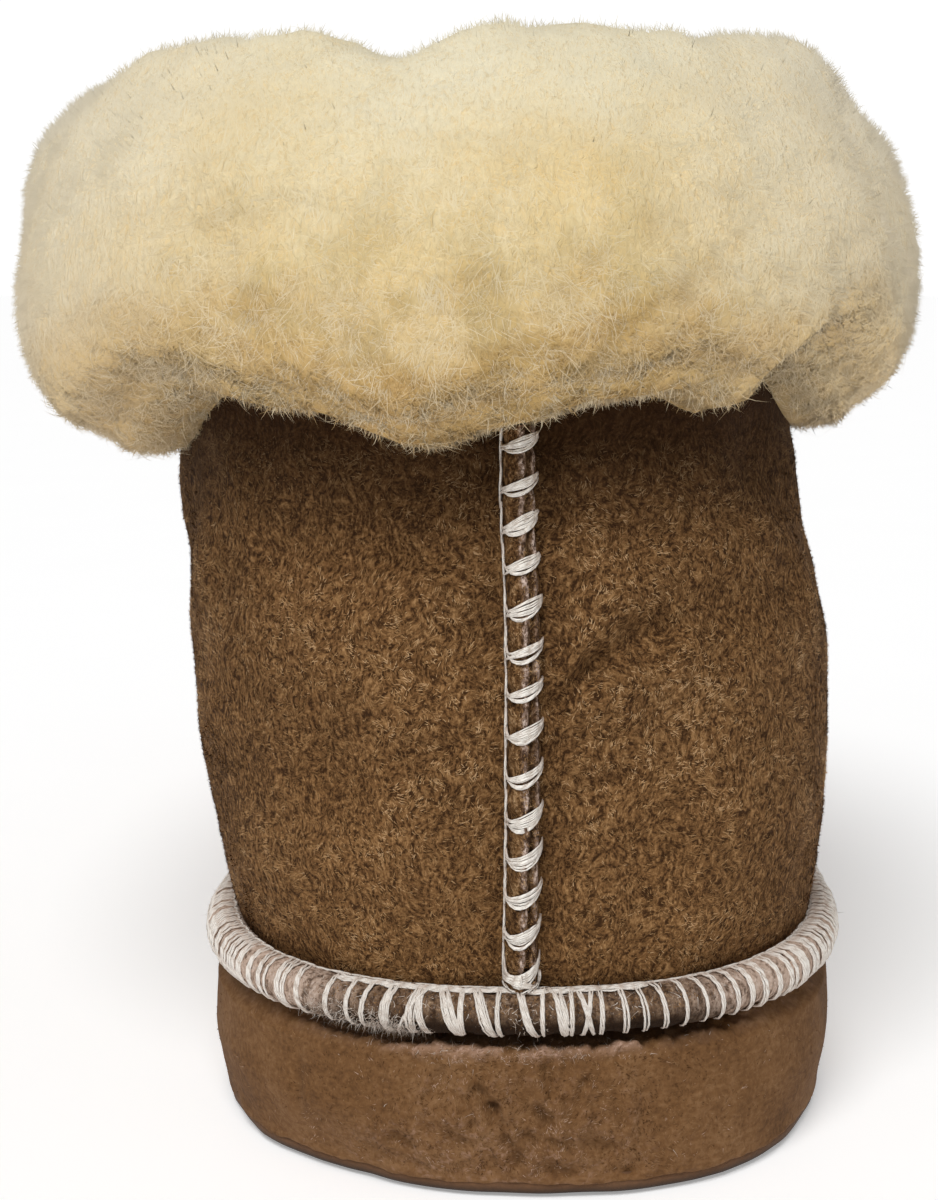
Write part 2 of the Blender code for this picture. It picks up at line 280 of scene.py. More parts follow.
def build(name, points, polygons, finish, values=None, normals=None):
    """Makes a piece from points and arrays of corner numbers, one array for each number of corners."""
    corners = np.concatenate([p.ravel() for p in polygons]).astype(np.int32)
    sizes = np.concatenate([np.full(len(p), p.shape[1]) for p in polygons])
    mesh = bpy.data.meshes.new(name)
    mesh.vertices.add(len(points))
    mesh.vertices.foreach_set("co", ((points + ORIGIN) * MM).astype(np.float32).ravel())
    mesh.loops.add(len(corners))
    mesh.loops.foreach_set("vertex_index", corners)
    mesh.polygons.add(len(sizes))
    mesh.polygons.foreach_set("loop_start", np.concatenate(([0], np.cumsum(sizes)[:-1])).astype(np.int32))
    mesh.polygons.foreach_set("use_smooth", np.ones(len(sizes), bool))
    mesh.update(calc_edges=True)
    for label, data in (values or {}).items():
        column = mesh.attributes.new(label, "FLOAT", "POINT").data
        column.foreach_set("value", data.astype(np.float32).ravel())
    if normals is not None:
        mesh.normals_split_custom_set_from_vertices(normals.tolist())
    mesh.materials.append(finish)
    piece = bpy.data.objects.new(name, mesh)
    bpy.context.scene.collection.objects.link(piece)
    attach(piece, "root")
    return piece


CLOSED_ENDS = ((0, False), (-1, True))


def build_skin(name, skin, finish, values=None, caps=()):
    """Makes a piece from a skin. caps are rows that get closed with a flat fan, True for one facing up."""
    points = skin.points.reshape(-1, 3)
    columns = skin.points.shape[1]
    polygons = [skin.cells()]
    values = dict(values or {})
    for row, facing_up in caps:
        first = row % skin.points.shape[0] * columns
        middle = len(points)
        points = np.vstack((points, skin.points[row].mean(axis=0)))
        values = {label: np.append(data, data.ravel()[first]) for label, data in values.items()}
        ring = first + np.arange(columns)
        fan = np.stack((ring, np.roll(ring, -1), np.full(columns, middle)), axis=-1)
        polygons.append(fan if facing_up else fan[:, ::-1])
    return build(name, points, polygons, finish, values)


def build_fibres(
    name, roots, headings, lengths, widths, facing, finish,
    bends=None, stations=1, values=None, shaded_as=None,
):
    """One mesh of tapering fibres. Each is flat, looks along facing, and bends away by bends at its tip."""
    count = len(roots)
    t = np.linspace(0, 1, stations + 1)
    course = roots[:, None] + (headings * lengths[:, None])[:, None] * t[:, None]
    if bends is not None:
        course = course + bends[:, None] * t[:, None] ** 2
    ways = unit(np.gradient(course, axis=1)) if stations > 1 else np.repeat(headings[:, None], 2, axis=1)
    aside = unit(np.cross(ways, facing[:, None])) * (widths[:, None] * (1 - t) ** 0.7)[..., None] / 2
    pairs = np.stack((course - aside, course + aside), axis=2)[:, :-1].reshape(count, -1, 3)
    points = np.concatenate((pairs, course[:, -1:]), axis=1)
    own = points.shape[1]
    base = (np.arange(count) * own)[:, None]
    polygons = [base + np.array((own - 3, own - 2, own - 1))]
    for k in range(stations - 1):
        polygons.append(base + np.array((2 * k, 2 * k + 1, 2 * k + 3, 2 * k + 2)))
    stretched = {label: np.repeat(data, own) for label, data in (values or {}).items()}
    stretched["tip"] = np.tile(np.append(np.repeat(t[:-1], 2), 1.0), count)
    shading = np.repeat(facing if shaded_as is None else shaded_as, own, axis=0)
    return build(name, points.reshape(-1, 3), polygons, finish, stretched, shading)


# ---------------------------------------------------------------- shader writing


class Value:
    """A shader socket that can stand in a sum. Each operation on it adds one Math node."""

    def __init__(self, finish, socket):
        self.finish, self.socket = finish, socket

    def _math(self, operation, *terms, clamped=False):
        return self.finish.node("ShaderNodeMath", {"operation": operation, "use_clamp": clamped}, terms)

    def __add__(self, other):
        return self._math("ADD", self, other)

    def __sub__(self, other):
        return self._math("SUBTRACT", self, other)

    def __rsub__(self, other):
        return self._math("SUBTRACT", other, self)

    def __mul__(self, other):
        return self._math("MULTIPLY", self, other)

    __radd__, __rmul__ = __add__, __mul__

    def clamped(self):
        return self._math("ADD", self, 0.0, clamped=True)

    def sine(self):
        return self._math("SINE", self)

    def between(self, low, high):
        """0 below low, 1 above high, and smooth between them."""
        settings = {"interpolation_type": "SMOOTHSTEP"}
        sockets = {"Value": self, "From Min": low, "From Max": high}
        return self.finish.node("ShaderNodeMapRange", settings, sockets)


class Finish:
    """A material, written one node at a time."""

    def __init__(self, name):
        self.material = bpy.data.materials.new(name)
        self.material.use_nodes = True
        self.tree = self.material.node_tree
        self.tree.nodes.clear()
        self.object_place = self.node("ShaderNodeTexCoord", result="Object")
        self.place = self.vector("SCALE", self.object_place, Scale=1 / MM)

    def node(self, kind, settings=None, sockets=None, result=0):
        """Adds a node. sockets holds values or links, by name, or in order when it is a tuple."""
        made = self.tree.nodes.new(kind)
        for name, setting in (settings or {}).items():
            if name == "stops":
                self._fill_ramp(made.color_ramp, setting)
            else:
                setattr(made, name, setting)
        named = sockets if isinstance(sockets, dict) else dict(enumerate(sockets or ()))
        for name, value in named.items():
            by_name = (s for s in made.inputs if s.name == name and s.enabled)
            socket = made.inputs[name] if isinstance(name, int) else next(by_name)
            if isinstance(value, Value):
                self.tree.links.new(value.socket, socket)
            else:
                socket.default_value = value
        shown = [s for s in made.outputs if s.enabled]
        chosen = shown[result] if isinstance(result, int) else next(s for s in shown if s.name == result)
        return Value(self, chosen)

    def _fill_ramp(self, ramp, stops):
        while len(ramp.elements) < len(stops):
            ramp.elements.new(1.0)
        for element, (position, colour) in zip(ramp.elements, stops):
            element.position, element.color = position, (*colour, 1)

    def vector(self, operation, *terms, **named):
        sockets = {**dict(enumerate(terms)), **named}
        return self.node("ShaderNodeVectorMath", {"operation": operation}, sockets)

    def noise(self, size, detail=2.0, roughness=0.5, at=None, result=0, distortion=0.0):
        """Noise with lumps of about size millimetres, 0 to 1."""
        sockets = {
            "Vector": at or self.place,
            "Scale": 1 / size,
            "Detail": detail,
            "Roughness": roughness,
            "Distortion": distortion,
        }
        return self.node("ShaderNodeTexNoise", None, sockets, result)

    def stretched(self, x, y, z, at=None):
        """The place with each direction shortened, so that a pattern over it is drawn out."""
        return self.vector("MULTIPLY", at or self.place, (1 / x, 1 / y, 1 / z))

    def warped(self, size, amount, at=None):
        drift = self.noise(size, result="Color")
        drift = self.vector("SCALE", self.vector("SUBTRACT", drift, (0.5, 0.5, 0.5)), Scale=amount)
        return self.vector("ADD", at or self.place, drift)

    def height(self, low, high):
        """Share of the way up between two heights."""
        up = self.node("ShaderNodeSeparateXYZ", None, (self.place,), "Z")
        return self.node("ShaderNodeMapRange", None, {"Value": up, "From Min": low, "From Max": high})

    def aside(self, near, far):
        """Share of the way from near the middle plane to far from it."""
        across = self.node("ShaderNodeSeparateXYZ", None, (self.place,), "X")
        across = self.node("ShaderNodeMath", {"operation": "ABSOLUTE"}, (across,))
        return self.node("ShaderNodeMapRange", None, {"Value": across, "From Min": near, "From Max": far})

    def value_of(self, label):
        return self.node("ShaderNodeAttribute", {"attribute_name": label}, result="Fac")

    def ramp(self, factor, *stops):
        return self.node("ShaderNodeValToRGB", {"stops": stops}, {"Fac": factor})

    def mix(self, factor, one, other, way="MIX"):
        settings = {"data_type": "RGBA", "blend_type": way}
        colours = {n: v if isinstance(v, Value) else (*v, 1) for n, v in (("A", one), ("B", other))}
        return self.node("ShaderNodeMix", settings, {"Factor": factor, **colours})

    def tinted(self, colour, tint):
        """The colour multiplied by a tint, which is another colour or a value."""
        if isinstance(tint, Value):
            tint = self.node("ShaderNodeCombineColor", None, (tint, tint, tint))
        return self.mix(1.0, colour, tint, "MULTIPLY")

    def fibre_normal(self):
        """The normal a fibre was given, on both of its sides, as light passes through it."""
        behind = self.node("ShaderNodeNewGeometry", result="Backfacing")
        normal = self.node("ShaderNodeNewGeometry", result="Normal")
        return self.vector("SCALE", normal, Scale=1 - behind * 2)

    def surface(self, colour, roughness, height=None, depth=0.2, **constants):
        """Ends the material. height is a relief from 0 to 1 that is depth millimetres deep."""
        sockets = {"Base Color": colour, "Roughness": roughness}
        if height is not None:
            bumps = {"Height": height, "Distance": depth * MM, "Strength": 1.0}
            sockets["Normal"] = self.node("ShaderNodeBump", None, bumps)
        sockets.update({name.replace("_", " "): value for name, value in constants.items()})
        shader = self.node("ShaderNodeBsdfPrincipled", None, sockets)
        output = self.tree.nodes.new("ShaderNodeOutputMaterial")
        self.tree.links.new(shader.socket, output.inputs["Surface"])
        return self.material


# Colours, as shares of red, green and blue light.
SUEDE_DARK, SUEDE_MID, SUEDE_TAN = (0.038, 0.016, 0.005), (0.165, 0.081, 0.029), (0.37, 0.212, 0.090)
SUEDE_PALE, SUEDE_CUFF_SHADOW, SUEDE_SOIL_AND_SHADE = (0.50, 0.32, 0.165), (0.026, 0.009, 0.0015), (0.024, 0.012, 0.006)
WRAP_DARK, WRAP_MID, WRAP_PALE = (0.080, 0.034, 0.011), (0.172, 0.082, 0.030), (0.29, 0.160, 0.074)
WRAP_WORN, WRAP_NAP_WORN, WRAP_RAW = (0.34, 0.205, 0.135), (0.47, 0.32, 0.235), (0.46, 0.295, 0.215)
WRAP_HOLLOW_SHADE = (0.036, 0.014, 0.005)
WOOL_LOW_SHADED, WOOL_MID, WOOL_TOP_LIT = (0.70, 0.51, 0.26), (0.80, 0.65, 0.37), (0.86, 0.785, 0.58)
WOOL_GOLD, WOOL_CREAM, WOOL_WHITE = (0.78, 0.53, 0.20), (0.90, 0.77, 0.54), (0.93, 0.87, 0.71)
THREAD_SHADE, THREAD_LIGHT, THREAD_DIRT_AND_SHADE = (0.46, 0.37, 0.30), (0.90, 0.85, 0.785), (0.42, 0.28, 0.20)
RIB_THREAD_LIGHT = (1.0, 0.955, 0.885)
WOOL_SIDES, WOOL_SHADE, WOOL_DARK_FIBRE = (0.84, 0.765, 0.61), (0.29, 0.170, 0.072), (0.42, 0.25, 0.08)
VALLEY_SHADE_TINT, UNDER_SHADE_TINT = (0.82, 0.795, 0.72), (1.02, 0.92, 0.76)
RUBBER_UNDER, RUBBER_EDGE = (0.030, 0.018, 0.012), (0.140, 0.068, 0.031)
FLUFF = (0.40, 0.34, 0.29)
LINT_DARK, LINT_MID, LINT_PALE = (0.30, 0.20, 0.14), (0.55, 0.45, 0.37), (0.80, 0.76, 0.70)


def suede_tone_and_shade(made):
    """Slow changes of the suede's depth of colour: patches, painted shade under the cuff, lighter low down.
    """
    worn = 0.86 + made.noise(15.0, 3.0, 0.55) * 0.41
    return worn * (0.52 + made.height(86.0, 68.0) * 0.50) * (1 + made.height(62.0, 34.0) * 0.16)


def painted_cuff_shadow(made, colour):
    """The cuff's painted shadow: the suede under it is painted a deep red-brown."""
    return made.mix(made.height(71.0, 86.0) * 0.93, colour, SUEDE_CUFF_SHADOW)


def upper_suede():
    """The skin under the nap."""
    made = Finish("upper_suede")
    turned = made.warped(5.0, 6.0)
    nap = made.noise(1.0, 3.0, 0.6, at=made.stretched(0.5, 0.5, 0.9, at=turned))
    grain = made.noise(0.30, 2.0, 0.6)
    shade = nap * 0.75 + grain * 0.35 - 0.05
    colour = made.ramp(shade, (0.40, SUEDE_DARK), (0.54, SUEDE_MID), (0.72, SUEDE_TAN))
    # Painted shade and the cuff's painted shadow darken the suede's top.
    colour = painted_cuff_shadow(made, made.tinted(colour, suede_tone_and_shade(made)))
    return made.surface(colour, 0.95, nap * 0.6 + grain * 0.4, 0.4, Specular_IOR_Level=0.15)


def nap_fibre():
    """Brushed nap, from its dark foot to its pale tip."""
    made = Finish("suede_nap")
    tint, tip = made.value_of("tint"), made.value_of("tip")
    colour = made.ramp(tint, (0.0, SUEDE_DARK), (0.40, SUEDE_MID), (0.75, SUEDE_TAN), (1.0, SUEDE_PALE))
    # The nap takes the same painted shade and painted cuff shadow as the suede.
    colour = made.tinted(colour, suede_tone_and_shade(made) * (0.7 + tip * 0.5))
    return made.surface(painted_cuff_shadow(made, colour), 0.9, Specular_IOR_Level=0.15)


# The rolled seams' cut edges, from their dark places to their pale ones: sharp at the ribs, worn at the welt.
CUT_EDGE = ((0.42, (0.07, 0.040, 0.026)), (0.51, (0.28, 0.190, 0.142)), (0.60, (0.70, 0.55, 0.47)))
WORN_EDGE = ((0.34, (0.33, 0.225, 0.165)), (0.50, (0.54, 0.40, 0.315)), (0.66, (0.72, 0.575, 0.485)))


def rib_suede(name="rib_suede", cut_stops=CUT_EDGE, lint=0.0):
    """Rolled seam: suede at its foot, and the skin's pinkish cut edges along its back."""
    made = Finish(name)
    raw, groove = made.value_of("raw"), made.value_of("groove")
    grain = made.noise(0.40, 3.0, 0.65)
    patches = made.noise(1.6, 3.0, 0.6, at=made.stretched(0.45, 0.45, 1.2))
    shade = grain * 0.5 + patches * 0.5
    skin = made.ramp(shade, (0.42, SUEDE_DARK), (0.53, SUEDE_MID), (0.66, SUEDE_PALE))
    cut = made.ramp(shade, *cut_stops)
    colour = made.mix((raw * (0.35 + patches.between(0.30, 0.58))).clamped(), skin, cut)
    # Painted shade in the groove between the cut edges; on the welt, soil at the heel and painted shade under
    # the roll.
    colour = made.mix((groove * 0.8).clamped(), colour, SUEDE_SOIL_AND_SHADE)
    fluff = made.noise(0.45, 4.0, 0.75, at=made.warped(1.2, 1.0)).between(0.54, 0.72)
    colour = made.mix((fluff * (1.2 - groove) * lint).clamped(), colour, FLUFF)
    return made.surface(colour, 0.95, grain * 0.5 + patches * 0.5, 0.5, Specular_IOR_Level=0.15)


def thread_floss(name="cream_thread", light=THREAD_LIGHT):
    """Loosely spun thread: bright along its middle, with painted shade where it dives into the skin and dirt
    in patches.
    """
    made = Finish(name)
    ply = (made.value_of("twist") * (2 * math.pi)).sine() * 0.5 + 0.5
    fluff = made.noise(0.22, 2.0, 0.7)
    dirt = made.noise(2.8, 3.0, 0.6)
    colour = made.ramp(ply * 0.25 + fluff * 0.45 + dirt * 0.45, (0.30, THREAD_SHADE), (0.62, light))
    # Painted shade towards the ends where the thread dives in, and dirt in patches.
    dirt_and_shade = (1 - made.value_of("middle")) * 0.75 + dirt.between(0.55, 0.85) * 0.4
    colour = made.mix(dirt_and_shade.clamped(), colour, THREAD_DIRT_AND_SHADE)
    return made.surface(colour, 0.7, ply * 0.5 + fluff * 0.5, 0.08, Specular_IOR_Level=0.3)


def wool_tone(made, steady=None):
    """Painted light and shade: lit cream on the roll's top, shaded and more golden down its side, browner
    where it hangs.
    """
    reach = made.height(80.0, 126.0) if steady is None else steady
    patches = made.noise(14.0, 2.0, 0.5)
    # Lighter up the roll and darker down it: painted light and shade by height.
    colour = made.ramp(
        (reach * 0.86 + (patches - 0.5) * 0.55 + 0.05).clamped(),
        (0.04, WOOL_LOW_SHADED), (0.42, WOOL_MID), (0.86, WOOL_TOP_LIT),
    )
    gold = made.noise(8.0, 2.0, 0.5, at=made.vector("ADD", made.place, (31.0, 7.0, 3.0))).between(0.58, 0.80)
    colour = made.mix(gold * (0.45 - reach * 0.40), colour, WOOL_GOLD)
    # The sides are painted paler and less golden: partly the wool's own colour, partly painted light.
    colour = made.mix(made.aside(18.0, 42.0) * 0.58, colour, WOOL_SIDES)
    # Painted shade in the valleys between the tufts.
    valley_shade = made.noise(5.5, 3.0, 0.6, at=made.stretched(0.9, 0.9, 1.2)).between(0.57, 0.41)
    valley_shade = valley_shade * made.height(114.0, 96.0) * (1 - made.aside(16.0, 38.0))
    colour = made.mix(valley_shade.clamped(), colour, made.tinted(colour, VALLEY_SHADE_TINT))
    # Painted shade on what faces down: warmer first, then browner.
    under = made.value_of("under")
    colour = made.mix(under.between(0.0, 0.55), colour, made.tinted(colour, UNDER_SHADE_TINT))
    return made.mix(under.between(0.60, 1.0) * 0.52, colour, WOOL_SHADE)


def wool_fibre(name="wool_fibre", steady=None):
    """Fine wool. Its fibres differ little on the sunny top, and more where they hang in front of shade."""
    made = Finish(name)
    tint, tip = made.value_of("tint"), made.value_of("tip")
    reach = made.height(80.0, 118.0) if steady is None else steady
    differ = (0.95 - reach * 0.85) * (1 - made.aside(24.0, 44.0) * 0.45)
    lightness = (tint - 0.5) * differ + tip * 0.10
    colour = wool_tone(made, steady)
    # Light fibres are whiter on the lit top and creamier in the shade lower down: painted light and shade by
    # height.
    colour = made.mix((lightness * 1.5).clamped(), colour, made.mix(reach, WOOL_CREAM, WOOL_WHITE))
    colour = made.mix((0 - lightness).clamped(), colour, WOOL_DARK_FIBRE)
    return made.surface(
        colour, 0.8, Specular_IOR_Level=0.1, Normal=made.fibre_normal(),
        Sheen_Weight=0.3, Sheen_Roughness=0.5, Sheen_Tint=(1.0, 0.86, 0.66, 1),
    )


def wool_felt(name="wool_felt", steady=None):
    """The depth of the pile, between the fibres that stand out of it."""
    made = Finish(name)
    curls = made.noise(0.9, 3.0, 0.65, at=made.stretched(0.7, 0.7, 1.6), distortion=0.8)
    colour = made.mix(curls.between(0.62, 0.30) * 0.35, wool_tone(made, steady), WOOL_GOLD)
    return made.surface(colour, 0.95, curls, 0.35, Specular_IOR_Level=0.05)


def sole_wrap_suede():
    """Thin suede glued round the foam: smooth and fine, scuffed pale at the heel, with painted shade in its
    hollows and raw pinkish edges.
    """
    made = Finish("sole_wrap_suede")
    raw, scuff, hollow = made.value_of("raw"), made.value_of("scuff"), made.value_of("hollow")
    grain = made.noise(0.6, 4.0, 0.6, at=made.warped(3.0, 1.5))
    streaks = made.noise(1.0, 3.0, 0.6, at=made.stretched(1.8, 1.8, 0.6, at=made.warped(6.0, 4.0)))
    patches = made.noise(12.0, 3.0, 0.55)
    shade = grain * 0.40 + streaks * 0.25 + patches * 0.40
    colour = made.ramp(shade, (0.34, WRAP_DARK), (0.52, WRAP_MID), (0.74, WRAP_PALE))
    speckle = made.noise(0.8, 3.0, 0.7, at=made.warped(2.0, 1.0)).between(0.50, 0.70)
    colour = made.mix((scuff * (0.05 + speckle * 0.65)).clamped(), colour, WRAP_WORN)
    # Painted shade in the hollows of the creases.
    colour = made.mix((hollow * 0.75).clamped(), colour, WRAP_HOLLOW_SHADE)
    colour = made.mix((raw * (0.40 + speckle * 0.8)).clamped(), colour, WRAP_RAW)
    return made.surface(colour, 0.9, grain * 0.6 + streaks * 0.4, 0.16, Specular_IOR_Level=0.2)


def wrap_fibre(name="wrap_nap", paler=0.0):
    """Nap of the sole's suede, matted and scuffed pale in places."""
    made = Finish(name)
    tint, tip = made.value_of("tint") + paler, made.value_of("tip")
    colour = made.ramp(tint, (0.1, WRAP_DARK), (0.45, WRAP_MID), (0.75, WRAP_PALE), (1.0, WRAP_NAP_WORN))
    return made.surface(made.tinted(colour, 0.8 + tip * 0.4), 0.9, Specular_IOR_Level=0.15)


def outsole_rubber():
    made = Finish("outsole_rubber")
    band = made.value_of("band")
    grain = made.noise(0.6, 3.0, 0.6)
    colour = made.tinted(made.mix(band, RUBBER_UNDER, RUBBER_EDGE), 0.7 + grain * 0.6)
    return made.surface(colour, 0.65 + grain * 0.25, grain, 0.12, Specular_IOR_Level=0.3)


def lint_fibre():
    made = Finish("lint")
    colour = made.ramp(made.value_of("tint"), (0.0, LINT_DARK), (0.5, LINT_MID), (1.0, LINT_PALE))
    return made.surface(colour, 0.9, Specular_IOR_Level=0.1)


# ---------------------------------------------------------------- suede upper

# A soft fold of the suede, from one place to another. turn is in degrees round the foot from the back
# seam by the outer side, level is that of the upper's rings, and a negative depth is a ridge.
Fold = namedtuple("Fold", "turn level to_turn to_level width depth")
FOLDS = (
    Fold(3.0, 4.3, 7.0, 4.75, 1.3, 1.2),
    Fold(7.0, 4.75, 13, 5.05, 2.2, 1.1),
    Fold(12, 5.1, 33, 5.3, 3.6, 0.8),
    Fold(3.0, 6.3, 8, 6.7, 1.5, 0.6),
    Fold(3.0, 5.4, 6.5, 5.7, 1.2, 0.5),
    Fold(3.0, 3.3, 8.0, 3.5, 1.6, 0.5),
    Fold(-3.0, 5.9, -9, 6.1, 1.8, 0.5),
    Fold(-3.0, 3.9, -8, 3.6, 1.8, 0.45),
    Fold(-9, 6.4, -30, 5.7, 5.0, 0.8),
    Fold(-14, 3.6, -34, 2.9, 5.5, 0.6),
    Fold(10, 2.6, 32, 2.1, 4.5, 0.6),
    Fold(36, 6.9, 46, 5.4, 4.5, 0.8),
    Fold(-38, 6.6, -52, 4.9, 4.5, 0.7),
    Fold(55, 6.4, 96, 4.2, 5.0, 1.1),
    Fold(-58, 6.2, -98, 4.0, 5.0, 1.0),
    Fold(78, 6.6, 128, 5.6, 4.2, 1.0),
    Fold(-80, 6.7, -126, 5.5, 4.2, 0.9),
    Fold(98, 5.0, 140, 5.3, 4.6, 0.8),
    Fold(-100, 4.8, -142, 5.2, 4.8, 0.9),
    Fold(120, 3.0, 150, 3.9, 6.0, 0.6),
    Fold(-122, 3.1, -150, 4.0, 6.0, 0.6),
)
# Broad hollows and swellings of the suede: turn, level, reach in millimetres and how far it stands out.
Swell = namedtuple("Swell", "turn level reach out")
SWELLS = (
    Swell(58, 4.8, 16, -2.2),
    Swell(60, 4.3, 7, -0.9),
    Swell(66, 4.2, 10, -1.6),
    Swell(62, 2.3, 7, -0.5),
    Swell(8, 4.1, 5, 0.7),
    Swell(-60, 3.1, 15, -0.9),
    Swell(-60, 5.4, 9, 0.4),
)
SKIN_COLUMNS, SKIN_ROWS, HIDDEN_ROWS = 330, 110, 4
SKIN_SHOWN_LEVEL = 7.7
# The ridge beside a fold: its share of the fold's depth, and how many widths away it stands.
FOLD_RIDGE, FOLD_RIDGE_PLACE = 0.45, 1.7


def distance_to(points, start, end):
    """Distance of each point to the straight line between two places."""
    way = end - start
    share = np.clip((points - start) @ way / (way @ way), 0, 1)
    return np.linalg.norm(points - (start + share[..., None] * way), axis=-1)


def fold_relief(points):
    relief = np.zeros(points.shape[:-1])
    for fold in FOLDS:
        start = upper_point(fold.level, math.radians(fold.turn))
        end = upper_point(fold.to_level, math.radians(fold.to_turn))
        away = distance_to(points, start, end) / fold.width
        relief -= fold.depth * (bell(away) - FOLD_RIDGE * bell(away - FOLD_RIDGE_PLACE))
    return relief


def fold_shade(points):
    """How much darker the nap lies in a fold, and beside the back seam."""
    shade = np.clip(-fold_relief(points), -0.5, 1.2) * 0.36
    beside = bell((points[..., 0] - 3.4) / 1.3) + 0.5 * bell((points[..., 0] + 2.9) / 0.9)
    return shade + 0.34 * beside * smooth_step((16 - points[..., 1]) / 8)


def skin_relief(points):
    """How far the suede stands out from the last, in millimetres."""
    relief = 0.65 * ripple(points, 24.0) + 0.30 * ripple(points, 10.0, 5.0) + 0.10 * ripple(points, 3.5, 9.0)
    relief += fold_relief(points)
    for swell in SWELLS:
        away = np.linalg.norm(points - upper_point(swell.level, math.radians(swell.turn)), axis=-1)
        relief += swell.out * bell(away / swell.reach)
    return relief


def seam_relief(points, track, pitch):
    """The suede's dip towards a seam, with a pucker at each stitch."""
    away, measure = track.nearest(points)
    dip = 0.75 * bell(away / 4.6)
    pucker = 0.30 * bell((away - 3.4) / 1.5) * (0.5 + 0.5 * np.cos(2 * math.pi * measure / pitch))
    return -dip - pucker


def flare(level, turn):
    """How far the suede is drawn out towards the welt near its foot, most round the heel."""
    side = smooth_step((np.abs(degrees_round(turn)) - 25) / 30)
    foot = 1.7 * smooth_step(level / 0.7) * smooth_step((2.1 - level) / 1.1)
    return foot - 1.2 * side * bump(level - 2.3, 1.3)


def upper_skin():
    """The suede's outside, drawn in at its seams and out towards the welt, and the level of each point."""
    levels = np.concatenate((
        np.linspace(0, SKIN_SHOWN_LEVEL, SKIN_ROWS),
        np.linspace(SKIN_SHOWN_LEVEL, TOP_LEVEL, HIDDEN_ROWS + 1)[1:],
    ))
    level, turn = np.meshgrid(levels, closer_at_heel(around(SKIN_COLUMNS)), indexing="ij")
    plain = Skin(upper_point(level, turn))
    relief = skin_relief(plain.points)
    for track in (HEEL_SEAM, VAMP_SEAM):
        relief += seam_relief(plain.points, track, STITCH_PITCH)
    fade = smooth_step(level / 0.8) * smooth_step((TOP_LEVEL - level) / 2.0)
    return plain.moved(relief * fade + flare(level, turn)), level


def make_upper(finish):
    """The suede's two sides, joined round the mouth and the foot."""
    skin, level = upper_skin()
    inner = skin.moved(np.full(level.shape, -SKIN_THICK)).points[::-4]
    closed = Skin(np.concatenate((skin.points, inner)), closed_rows=True)
    piece = build_skin("upper_suede", closed, finish)
    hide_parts("upper")
    return skin, level


NAP_COUNT, NAP_LENGTH = 168000, 0.68
NAP_REST = 0.30  # share of the nap on what faces away from the heel


def plant_nap(name, skin, finish, seed, count, length, weigh=None, shade=None):
    """Short fibres brushed over suede in slowly turning directions, and clotted into small curls."""
    rng = np.random.default_rng(seed)
    roots, outs, _ = skin.scatter(count, rng, weigh)
    swirl = ripple_vector(roots, 7.0) * 1.6 + ripple_vector(roots, 1.3, 40.0) * 1.3
    swirl = swirl + 0.35 * rng.normal(size=roots.shape) + (0.15, 0, 0.25)
    stand = rng.uniform(0.2, 0.6, (count, 1))
    headings = unit(unit(np.cross(np.cross(outs, swirl), outs)) + outs * stand)
    upper_heel = smooth_step((30 - roots[:, 1]) / 20) * (0.25 + 0.75 * smooth_step((roots[:, 2] - 34) / 20))
    matted = 0.42 + 0.62 * bell((roots[:, 0] - 5) / 24) * upper_heel
    tint = 0.47 + 0.15 * rng.normal(size=count) + matted * ripple(roots, 0.95)
    tint = tint + 0.28 * ripple(roots, 2.6, 7.0)
    tint = tint + 0.25 * ripple(roots, 9.0, 21.0) - (0 if shade is None else shade(roots))
    build_fibres(
        name, roots - outs * 0.05, headings, length * rng.uniform(0.6, 1.3, count),
        rng.uniform(0.09, 0.165, count), outs, finish, values={"tint": np.clip(tint, 0, 1)},
    )


def make_nap(skin, level, finish):
    """The upper's nap, thickest at the heel, as two pieces."""
    shown = skin.part(slice(0, int(np.sum(level[:, 0] < SKIN_SHOWN_LEVEL - 0.3))))

    def weigh(places, outs):
        towards_back = smooth_step(0.5 - outs[:, 1] * 0.9) * smooth_step((75 - places[:, 1]) / 40)
        clots = np.clip(1 + 1.3 * ripple(places, 1.6, 60.0), 0.2, 2)
        return (NAP_REST + (1 - NAP_REST) * towards_back) * clots

    for number in (1, 2):
        plant_nap(
            f"suede_nap_{number}", shown, finish, 10 + number,
            count=NAP_COUNT // 2, length=NAP_LENGTH, weigh=weigh, shade=fold_shade,
        )


# ---------------------------------------------------------------- seams


class Track:
    """A seam's course, measured in millimetres, with the ways out of the shoe and across at each place."""

    def __init__(self, points, outs, closed=False):
        self.closed = closed
        if closed:
            points, outs = np.vstack((points, points[:1])), np.vstack((outs, outs[:1]))
        self.points, self.outs = points, unit(outs)
        steps = np.linalg.norm(np.diff(points, axis=0), axis=1)
        self.measures = np.concatenate(([0.0], np.cumsum(steps)))
        self.length = self.measures[-1]
        slopes = np.gradient(points, axis=0)
        if closed:
            slopes[0] = slopes[-1] = points[1] - points[-2]
        self.ways = unit(slopes)
        self.tree = KDTree(len(points))
        for i, point in enumerate(points):
            self.tree.insert(point, i)
        self.tree.balance()

    def at(self, measure):
        """Point, way along, way out and way across, at each measure."""
        measure = np.asarray(measure, float)
        measure = np.mod(measure, self.length) if self.closed else np.clip(measure, 0, self.length)
        point, way, out = (
            np.stack([np.interp(measure, self.measures, column[:, i]) for i in range(3)], axis=-1)
            for column in (self.points, self.ways, self.outs)
        )
        way, out = unit(way), unit(out)
        return point, way, out, unit(np.cross(way, out))

    def nearest(self, points):
        """Distance to the course, and the measure there."""
        flat = points.reshape(-1, 3)
        found = [self.tree.find(point) for point in flat.tolist()]
        away = np.array([distance for _, _, distance in found])
        measure = self.measures[[index for _, index, _ in found]]
        return away.reshape(points.shape[:-1]), measure.reshape(points.shape[:-1])


